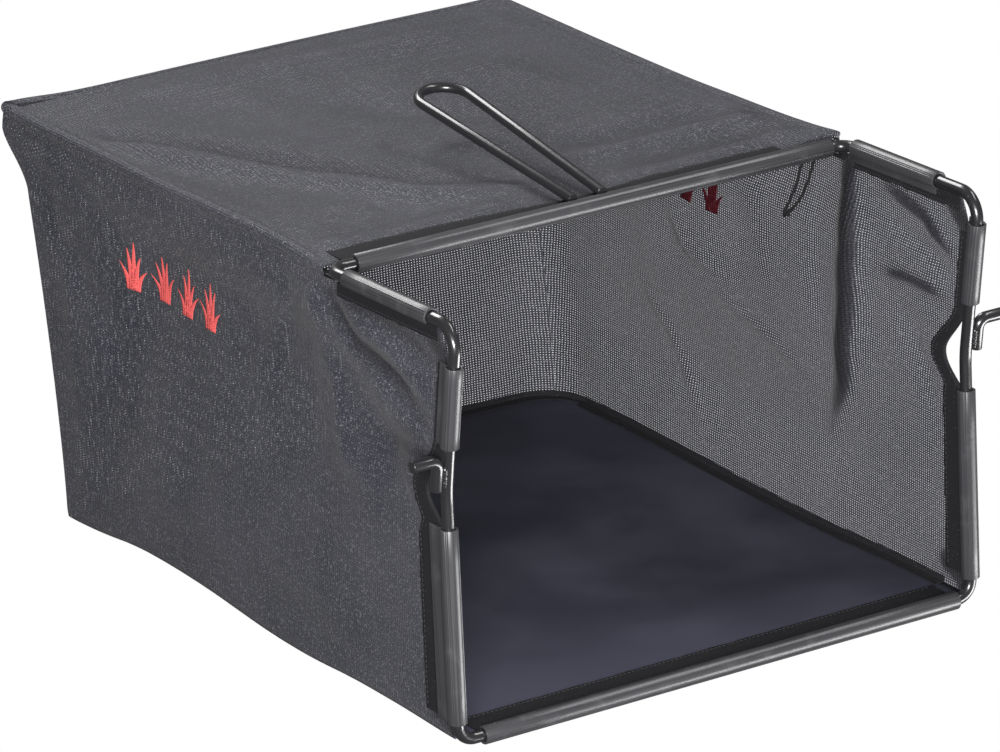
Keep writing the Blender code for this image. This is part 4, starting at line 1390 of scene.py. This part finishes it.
def hem_strip(left, rear, right):
    """Places and UVs of the hem, which runs along the top rows of all three walls."""
    parts = [left[-1, FRONT_COLUMNS:], rear[-1, 1:-1], right[-1, FRONT_COLUMNS:][::-1]]
    ring = np.concatenate(parts)
    edge_places = (("left", parts[0][:, 1]), ("rear", parts[1][:, 0]), ("right", parts[2][:, 1]))
    top = np.concatenate([hem_top(edge, places) for edge, places in edge_places])
    for _ in range(3):
        top[1:-1] = (top[:-2] + 2 * top[1:-1] + top[2:]) / 4
    arc = CORNER_COLUMNS
    count = len(parts[0])
    place = np.arange(len(ring))
    on_side = (place < count + arc) | (place >= len(ring) - count - arc)
    on_rear = (place >= count - arc - 1) & (place < len(ring) - count + arc + 1)
    tangent = np.gradient(ring[:, :2], axis=0)
    tangent = tangent / np.linalg.norm(tangent, axis=1)[:, None]
    outward = np.stack([-tangent[:, 1], tangent[:, 0], np.zeros(len(ring))], axis=1)
    radius = bead_radius(ring[:, 1])
    rim = ring + outward * (GROOVE * (radius / BEAD_R))[:, None]
    rim[:, 2] = top
    strip = np.concatenate([ring[None], bead_strip(rim, outward, radius, on_side, on_rear)], axis=0)
    along = path_lengths(ring)
    over = path_lengths(strip[:, len(ring) // 3])
    return strip, np.array([[(a, b) for a in along] for b in over])


def roof_grid(inner, half):
    """Places of the roof. It spans between the hem's inner edges and ends on the rear one."""
    lefts = inner[:half]
    rights = inner[-half:][::-1]
    rears = inner[half - 1: len(inner) - half + 1]
    share = np.linspace(0.0, 1.0, len(rears))[None, :]
    rows = lefts[:, None, :] * (1 - share[:, :, None]) + rights[:, None, :] * share[:, :, None]
    rows[-1] = rears
    across = rows[:, :, 0]
    depth = rows[:, :, 1]
    bound = rows[:, :, 2] - roof_z(depth)
    edge = np.abs(2 * share - 1)
    loose = (1 - (2 * share - 1) ** 2) * ease(depth, TOP_FRONT_Y + TAPE_W, TOP_FRONT_Y + TAPE_W + 30.0)
    loose = loose * (1 - ease(depth, REAR_TOP_Y - 90.0, REAR_TOP_Y - 11.0))
    first, last = ROOF_SAG_Y
    sag = ROOF_SAG * np.sin(np.pi * np.clip((depth - first) / (last - first), 0.0, 1.0)) * loose
    waves = ripple(across, depth, 41.7, 75.0, 2.6) + ripple(across, depth, 47.1, 26.0, 0.6)
    centre = 1 - ease(edge, 0.80, 1.0)
    keep = 1 - ease(edge, 0.0, 1.0) ** 2
    held = 1 - ease(edge, 0.90, 1.0)
    narrow = 1.0 + 7.0 * (1 - ease(depth, TOP_FRONT_Y + TAPE_W, TOP_FRONT_Y + 90.0))
    flat = roof_z(depth) + bound * (1 - keep) ** narrow - sag
    rows[:, :, 2] = flat + waves * loose ** 0.5 * centre + roof_folds(across, depth) * held
    rows[-1] = rears
    rows[0, :, 2] = inner[0][2] * (1 - centre[0]) + roof_z(TOP_FRONT_Y) * centre[0]
    rows[:, 0] = lefts
    rows[:, -1] = rights
    return rows


def rear_edge(wall):
    """Heights and outward reach of a side wall's last column before its corner."""
    column = wall[:, FRONT_COLUMNS + SIDE_COLUMNS]
    return column[:, 2], np.abs(column[:, 0]) - HALF_W


def build_bag():
    builder = bmesh.new()
    left, left_uv = side_wall("left")
    right, right_uv = side_wall("right")
    for side, wall, uv in (("left", left, left_uv), ("right", right, right_uv)):
        add_grid(builder, wall, uv, folds=painted_pleat_shade(side, wall[:, :, 1], wall[:, :, 2]))
    rear, rear_uv = rear_wall(rear_edge(left), rear_edge(right))
    add_grid(builder, rear, rear_uv)
    strip, strip_uv = hem_strip(left, rear, right)
    add_grid(builder, strip, strip_uv)
    roof = roof_grid(strip[-1], len(left[0]) - FRONT_COLUMNS)
    # The roof's fold attribute is painted shade along two of its folds
    add_grid(builder, roof, roof[:, :, :2], folds=shade_of(ROOF_FOLDS, roof[:, :, 0], roof[:, :, 1]))
    face_out(builder)
    obj = mesh_object("bag_cloth", builder, MESH, 60)
    thicken(obj, CLOTH_T)
    return finish_piece(
        obj, "mesh_cloth", "side_panel_left", "side_panel_right", "rear_panel", "top_panel",
    )


ROOF_FOLDS = (
    Fold(
        ((-200, 446), (-187, 422), (-156, 366), (-122, 298), (-78, 224), (-30, 202), (0, 190)), 12.0, 7.5,
        ends=(1.0, 0.2),
    ),
    Fold(
        ((-170, 446), (-159, 425), (-126, 377), (-89, 313), (-47, 247), (-20, 222)), 15.0, -6.5,
        ends=(0.6, 0.3),
    ),
    Fold(((206, 213), (142, 220), (95, 222), (44, 225), (14, 214)), 11.0, 5.0, ends=(1.0, 0.2)),
    Fold(((198, 250), (140, 252), (92, 254), (50, 258)), 14.0, -5.0),
    # These two paint shade on the slope beside the left hem and in the hollow behind the top bar's tape on
    # the right
    Fold(((-192, 400), (-174, 310), (-152, 225)), 29.0, -1.5, dark=0.12),
    Fold(((202, 186), (140, 193), (90, 195), (46, 197)), 9.0, -1.5, dark=0.26),
    Fold(((-186, 500), (-60, 512), (60, 500), (186, 494)), 16.0, 2.4),
    Fold(((60, 440), (110, 410), (124, 350)), 18.0, 2.6),
    Fold(((-40, 440), (20, 380), (60, 320)), 20.0, -3.0),
)


def roof_folds(x, y):
    """The pulled folds of the roof, and its first crest behind the top bar's tape."""
    near = np.exp(-((y - TOP_FRONT_Y - 29.0) / 7.5) ** 2)
    crest = 3.0 * near * ease(np.abs(x), 8.0, 60.0) * (1.0 + 0.2 * np.sin(x / 17.0))
    quiet = ease(y, TOP_FRONT_Y + 8.0, TOP_FRONT_Y + 30.0)
    quiet = quiet * (1 - ease(y, REAR_TOP_Y - 30.0, REAR_TOP_Y - 11.0))
    return crest + fold_lines(x, y, ROOF_FOLDS) * quiet


bag = build_bag()


# Floor of coated cloth

def floor_places(columns=64, rows=78):
    share = np.linspace(-1.0, 1.0, columns + 1)[None, :]
    tall = np.linspace(0.0, 1.0, rows + 1)[:, None]
    half = HALF_W - 0.9
    x, _ = np.broadcast_arrays(half * share, tall)
    rear = rear_y(np.array(0.5)) + rear_bow(x, np.array(0.5)) - 0.8
    past = np.clip((x - half + CORNER_ROUND) / CORNER_ROUND, 0.0, 1.0)
    pull = 2.0 * ease(-share, 0.95, 1.0) ** 2 + CORNER_ROUND * (1 - np.sqrt(1 - 0.998 * past ** 2))
    y = CLOTH_START + (rear - pull - CLOTH_START) * tall
    z = floor_z(y)
    for side, sign in SIDES.items():
        near = ease(sign * x, HALF_W - 70.0, HALF_W)
        z = z + smooth_points(y, EDGE_LIFT[side]) * near
    loose = ease(y, 40.0, 90.0) * (1 - ease(y, 440.0, 474.0)) * (1 - ease(np.abs(share), 0.8, 1.0))
    waves = ripple(x, y, 61.9, 120.0, 3.2) + ripple(x, y, 67.3, 45.0, 0.9)
    z = z + np.maximum(waves + 0.9, 0.0) * loose
    return np.stack([x, y, z], axis=2)


def build_floor_cloth():
    builder = bmesh.new()
    points = floor_places()
    add_grid(builder, points, points[:, :, :2])
    face_out(builder)
    obj = mesh_object("floor_cloth", builder, COATED, 60)
    thicken(obj, FLOOR_CLOTH_T)
    return finish_piece(obj, "coated_cloth", "floor_panel")


floor_cloth = build_floor_cloth()


# Binding tapes folded over the clipped edges

TOP_TAPE_WIDTH = ((0.0, 0.25, 0.46, 0.54, 0.66, 1.0), (22.0, 20.0, 12.0, 12.0, 17.0, 17.0))
ARM_TAPE_WIDTH = 9.5
UPRIGHT_TAPE_WIDTH = {
    "left": ((0.0, 0.5, 0.6, 0.75, 1.0), (29.0, 28.0, 16.0, 11.0, 11.0)),
    "right": ((0.0, 0.5, 0.6, 0.75, 1.0), (20.0, 19.0, 15.0, 10.0, 10.0)),
}


def fold_section():
    """Section of a folded tape as (share of width, side) pairs, round at the fold and soft at its edges."""
    slot = 0.6
    points = []
    for k in range(13):
        angle = 90 + 180 * k / 12
        x, y = polar(FOLD_HALF, angle)
        points.append((FOLD_HALF + x, y))
    for k in range(1, 7):
        points.append((FOLD_HALF + (TAPE_W - FOLD_HALF - 0.3) * k / 6, -FOLD_HALF))
    points += [(TAPE_W, -FOLD_HALF + 0.2), (TAPE_W, -slot - 0.15), (TAPE_W - 0.2, -slot)]
    points.append((FOLD_HALF + 0.2, -slot))
    for k in range(7):
        angle = 270 - 180 * k / 6
        x, y = polar(slot, angle)
        points.append((FOLD_HALF + x * 0.8, y))
    points.append((FOLD_HALF + 0.2, slot))
    points += [(TAPE_W - 0.2, slot), (TAPE_W, slot + 0.15), (TAPE_W, FOLD_HALF - 0.2)]
    for k in range(6, 0, -1):
        points.append((FOLD_HALF + (TAPE_W - FOLD_HALF - 0.3) * k / 6, FOLD_HALF))
    return points


def tape_piece(name, stations, place, node, width=None):
    """A tape swept through stations, where place(station, rear, side) gives each point."""
    section = fold_section()
    around = path_lengths(section)
    rings = []
    centres = []
    for k, station in enumerate(stations):
        wide = width(k / (len(stations) - 1)) if width else TAPE_W
        ring = []
        for r, s in section:
            edge = max(0.0, (r - 10.0) / 12.0)
            sway = noise.noise(Vector((k * 0.31, 4.0 if s > 0 else 9.0, len(name)))) * 1.1 * edge
            drawn = r if r < 3.0 else 3.0 + (r - 3.0) * (wide - 3.0) / (TAPE_W - 3.0)
            ring.append(place(station, FOLD_START + drawn + sway, s * (1 + 0.15 * edge)))
        rings.append(ring)
        centres.append(ring[0])
    obj = sweep(name, rings, around, path_lengths(centres), TAPE, 50)
    return finish_piece(obj, "binding_tape", node)


def upright_place(side):
    sign = SIDES[side]

    def place(z, r, s):
        y = float(upright_y(z)) + float(bay(z)) + r
        out = float(side_out(side, np.array(y), np.array(z))) * min(1.0, max(0.0, (r - 18.0) / 12.0))
        return Vector((sign * (HALF_W + s + out), y, z))
    return place


def build_tapes():
    made = []
    reach = HALF_W - TOP_BEND - 3.0
    along = np.linspace(-reach, reach, 90)
    made.append(tape_piece(
        "top_tape", along,
        lambda x, r, s: Vector((x, TOP_BAR_Y + r, float(roof_z(TOP_BAR_Y + r)) + s)), "top_binding",
        lambda t: float(np.interp(t, *TOP_TAPE_WIDTH)),
    ))
    low, high = [end.x for end in bar_ends("bottom", FOOT_BEND, FOOT)]
    made.append(tape_piece(
        "floor_tape", np.linspace(low, high, 90),
        lambda x, r, s: Vector((x, r, BOTTOM_Z + s)), "floor_binding",
    ))
    for side, sign in SIDES.items():
        levels = np.linspace(LOWER_CLIP_Z[side][0], UPPER_FOLD_END, 110)
        made.append(tape_piece(
            f"upright_tape_{side}", levels, upright_place(side), f"upright_binding_{side}",
            lambda t, s=side: float(np.interp(t, *UPRIGHT_TAPE_WIDTH[s])),
        ))
        first = SHOULDER[side] + ARM_DIR * (SHOULDER_REACH + 1.0)
        last = SHOULDER[side] + ARM_DIR * ARM_RUN
        made.append(tape_piece(
            f"arm_tape_{side}", np.linspace(0.0, 1.0, 50),
            lambda t, r, s, a=first, b=last, g=sign: a.lerp(b, t) + ARM_DOWN * r + X_AXIS * g * s,
            f"arm_binding_{side}", lambda t: ARM_TAPE_WIDTH,
        ))
    return made


top_tape, floor_tape, *side_tapes = build_tapes()


# Seam tapes along the floor's sewn edges

SEAM_TALL = 4.6
SEAM_LENGTHS = path_lengths([
    (0, 0), (8, 0), (8.2, 0.35), (8, 0.7), (1.6, 0.9), (1, 1.2), (0.8, 1.8), (0.7, 5), (0.3, 5.2), (0, 5),
])


def seam_ring(corner, inward, wide, tall):
    """A soft L of tape lying in the corner between floor and wall."""
    section = [(0.0, 0.0), (wide, 0.0), (wide + 0.25, 0.35), (wide, TAPE_T), (1.6, TAPE_T + 0.2)]
    section += [(TAPE_T + 0.3, TAPE_T + 0.5), (TAPE_T + 0.1, 1.8), (TAPE_T, tall), (0.35, tall + 0.25)]
    section += [(0.0, tall)]
    return [corner + inward * a + UP * b for a, b in section]


def seam_tape(edge, stations, inward, seed):
    """One seam tape. Its width and height waver a little along its length."""
    rings = []
    for k, point in enumerate(stations):
        wobble = 0.35 * noise.noise(Vector((k * 0.35, *seed)))
        corner = Vector(point) + UP * 0.3
        rings.append(seam_ring(corner, inward, SEAM_TAPE + wobble, SEAM_TALL + wobble))
    obj = sweep(f"floor_seam_tape_{edge}", rings, SEAM_LENGTHS, path_lengths(stations), TAPE, 50)
    return finish_piece(obj, "binding_tape", f"floor_seam_{edge}")


def build_seam_tapes():
    made = []
    grid = floor_places()
    for side, sign in SIDES.items():
        column = grid[:, 0 if sign < 0 else -1]
        stations = [row for row in column if row[1] > FOLD_START + TAPE_W]
        made.append(seam_tape(side, stations, X_AXIS * -sign, (sign, 2.0)))
    made.append(seam_tape("rear", grid[-1], -BACK, (7.0, 5.0)))
    return made


seam_tapes = build_seam_tapes()


# Sleeves that hold the wire inside the hem

def build_sleeves():
    made = []
    inset = 4.2
    wire_x = HALF_W - inset
    rear = REAR_TOP_Y - inset
    for side, sign in SIDES.items():
        start = TOP_FRONT_Y + 30.0
        end = rear - WIRE_BEND - 6.0
        line = [Vector((sign * wire_x, y, roof_z(y) - inset)) for y in np.linspace(start, end, 70)]
        made.append(sleeve_piece(f"hem_sleeve_{side}", line, f"wire_sleeve_{side}"))
    reach = wire_x - WIRE_BEND - 6.0
    line = [Vector((x, rear, roof_z(rear) - inset)) for x in np.linspace(-reach, reach, 80)]
    made.append(sleeve_piece("hem_sleeve_rear", line, "wire_sleeve_rear"))
    return made


def sleeve_piece(name, line, node):
    """A thin open-ended tunnel of cloth with a few gathers."""
    outer, inner = 3.0, 2.6
    sides = 20
    builder = bmesh.new()
    skins = []
    for radius in (outer, inner):
        rings = []
        for k, (point, frame_sides) in enumerate(zip(line, path_frames(line))):
            def gathered(angle, along=k * 0.5, thick=radius):
                return thick + 0.08 * noise.noise(Vector((along, 2 * math.cos(angle), 2 * math.sin(angle))))
            rings.append(round_ring(point, frame_sides, sides, gathered))
        skins.append(np.array(rings))
    lengths = path_lengths(line)
    around = [2 * math.pi * outer * m / sides for m in range(sides + 1)]
    uvs = np.array([[(a, b) for b in around] for a in lengths])
    add_grid(builder, skins[0], uvs, loop_columns=True)
    add_grid(builder, skins[1], uvs, loop_columns=True)
    for end in (0, -1):
        rim = np.stack([skins[0][end], skins[1][end]])
        add_grid(builder, rim, uvs[:2], loop_columns=True)
    face_out(builder)
    obj = mesh_object(name, builder, MESH, 60)
    return finish_piece(obj, "mesh_cloth", node)


sleeves = build_sleeves()


# Stitching along the tapes and the hem

def build_stitches():
    runs = []
    off = FOLD_HALF + 0.12
    for side, sign in SIDES.items():
        low, high = LOWER_CLIP_Z[side][0] + 2.0, UPPER_FOLD_END - 2.0
        shares = np.linspace(0.01, 0.99, 130)
        for face in (-1, 1):
            line = []
            for share in shares:
                z = low + (high - low) * share
                reach = FOLD_START + float(np.interp(share, *UPRIGHT_TAPE_WIDTH[side])) - 2.4
                y = float(upright_y(z) + bay(z)) + reach
                line.append((sign * (HALF_W + face * (off + 0.15)), y, z))
            runs.append(line)
        first = SHOULDER[side] + ARM_DIR * (SHOULDER_REACH + 3.0)
        last = SHOULDER[side] + ARM_DIR * ARM_RUN
        drop = ARM_DOWN * (FOLD_START + ARM_TAPE_WIDTH - 2.0)
        for face in (-1, 1):
            shift = X_AXIS * sign * face * (off + 0.1)
            runs.append([first.lerp(last, t) + drop + shift for t in np.linspace(0, 1, 40)])
    reach = HALF_W - TOP_BEND - 6.0
    for face in (-1, 1):
        line = []
        for share in np.linspace(0.02, 0.98, 120):
            y = TOP_BAR_Y + FOLD_START + float(np.interp(share, *TOP_TAPE_WIDTH)) - 2.0
            line.append((reach * (2 * share - 1), y, float(roof_z(y)) + face * (off + 0.1)))
        runs.append(line)
        y = FOLD_START + TAPE_W - 2.2
        runs.append([(x, y, BOTTOM_Z + face * (off + 0.1)) for x in np.linspace(-reach, reach, 120)])
    obj = grow(
        "stitches", STITCH_TREE, runs, Pitch=3.4 * MM, Stitch_Length=2.6 * MM,
        Thread_Radius=0.28 * MM, Finish=THREAD,
    )
    finish_piece(obj, "binding_tape")


build_stitches()


# A plain print of grass blades on each side wall

PRINT_Y = {"left": (283.0, 406.0), "right": (259.0, 382.0)}
PRINT_Z = {"left": (188.0, 222.0), "right": (195.0, 229.0)}
TUFTS = (
    (0.12, ((-0.11, 0.52), (-0.05, 0.84), (0.01, 1.00), (0.06, 0.72), (0.11, 0.46))),
    (0.38, ((-0.12, 0.48), (-0.07, 0.76), (-0.01, 0.94), (0.04, 0.86), (0.10, 0.58))),
    (0.63, ((-0.11, 0.46), (-0.04, 0.80), (0.02, 1.00), (0.07, 0.70), (0.12, 0.50))),
    (0.88, ((-0.12, 0.50), (-0.06, 0.78), (0.00, 0.96), (0.05, 0.82), (0.10, 0.44))),
)


def build_print(side, name, face, ink):
    """Blades of grass printed on one face of a side wall."""
    low, high = PRINT_Z[side]
    front, rear = PRINT_Y[side]
    builder = bmesh.new()
    t = np.linspace(0.0, 1.0, 22)[:, None]
    w = np.linspace(-1.0, 1.0, 5)[None, :]
    half = 0.022 * (1 - t) ** 0.6 * (0.8 + 0.2 * np.sin(np.pi * t)) + 0.0015
    for centre, blades in TUFTS:
        for lean, height in blades:
            u = centre + lean * (0.30 + 0.70 * t ** 2.0) + half * w
            v = height * (t - 0.12 * t ** 3) / 0.88
            u, v = np.broadcast_arrays(u, v)
            y = rear - u * (rear - front)
            z = low + v * (high - low)
            x = SIDES[side] * (HALF_W + side_out(side, y, z) + face * (CLOTH_T / 2 + 0.15))
            add_grid(builder, np.stack([x, y, z], axis=2), np.stack([y, z], axis=2))
    obj = mesh_object(f"{name}_{side}", builder, ink, 60)
    thicken(obj, PRINT_T)
    return finish_piece(obj, "mesh_cloth")


prints = [build_print(side, "side_print", 1, CORAL) for side in SIDES]
prints += [build_print(side, "print_back", -1, SOAKED) for side in SIDES]

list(side_tapes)


# Finish of the wire that stays as its part is

frame["nodes"]["rear_wire"].data.materials.clear()
frame["nodes"]["rear_wire"].data.materials.append(PAINT)


# Light: a white room seen by the camera, dimmer for the bag itself, and a few soft boxes

ROOM_LIGHT = 0.13


def soft_box(name, place, aim, wide, tall, power):
    data = bpy.data.lights.new(name, "AREA")
    data.shape = "RECTANGLE"
    data.size = wide
    data.size_y = tall
    data.energy = power
    light = bpy.data.objects.new(name, data)
    bpy.context.scene.collection.objects.link(light)
    direction = Vector(aim) - Vector(place)
    light.matrix_world = Matrix.Translation(place) @ direction.to_track_quat("-Z", "Y").to_matrix().to_4x4()


def build_light():
    scene = bpy.context.scene
    studio = bpy.data.worlds.new("studio")
    studio.use_nodes = True
    nodes = studio.node_tree.nodes
    links = studio.node_tree.links
    ray = nodes.new("ShaderNodeLightPath")
    strength = nodes.new("ShaderNodeMapRange")
    strength.inputs["To Min"].default_value = ROOM_LIGHT
    strength.inputs["To Max"].default_value = 1.0
    links.new(ray.outputs["Is Camera Ray"], strength.inputs["Value"])
    background = nodes["Background"]
    background.inputs["Color"].default_value = (1, 1, 1, 1)
    links.new(strength.outputs[0], background.inputs["Strength"])
    scene.world = studio
    scene.view_settings.view_transform = "Standard"
    soft_box("front_box", (-1.25, -1.9, 0.75), (0, 0, 0.12), 0.9, 0.7, 88)
    soft_box("back_box", (0.0, 1.55, 1.77), (0, 0, 0.3), 1.4, 0.8, 38)
    soft_box("right_box", (1.3, -0.6, 2.2), (0, -0.1, 0.25), 1.5, 0.32, 20)
    soft_box("low_box", (1.3, -1.3, -0.75), (0, 0, 0.15), 1.2, 0.5, 30)


build_light()
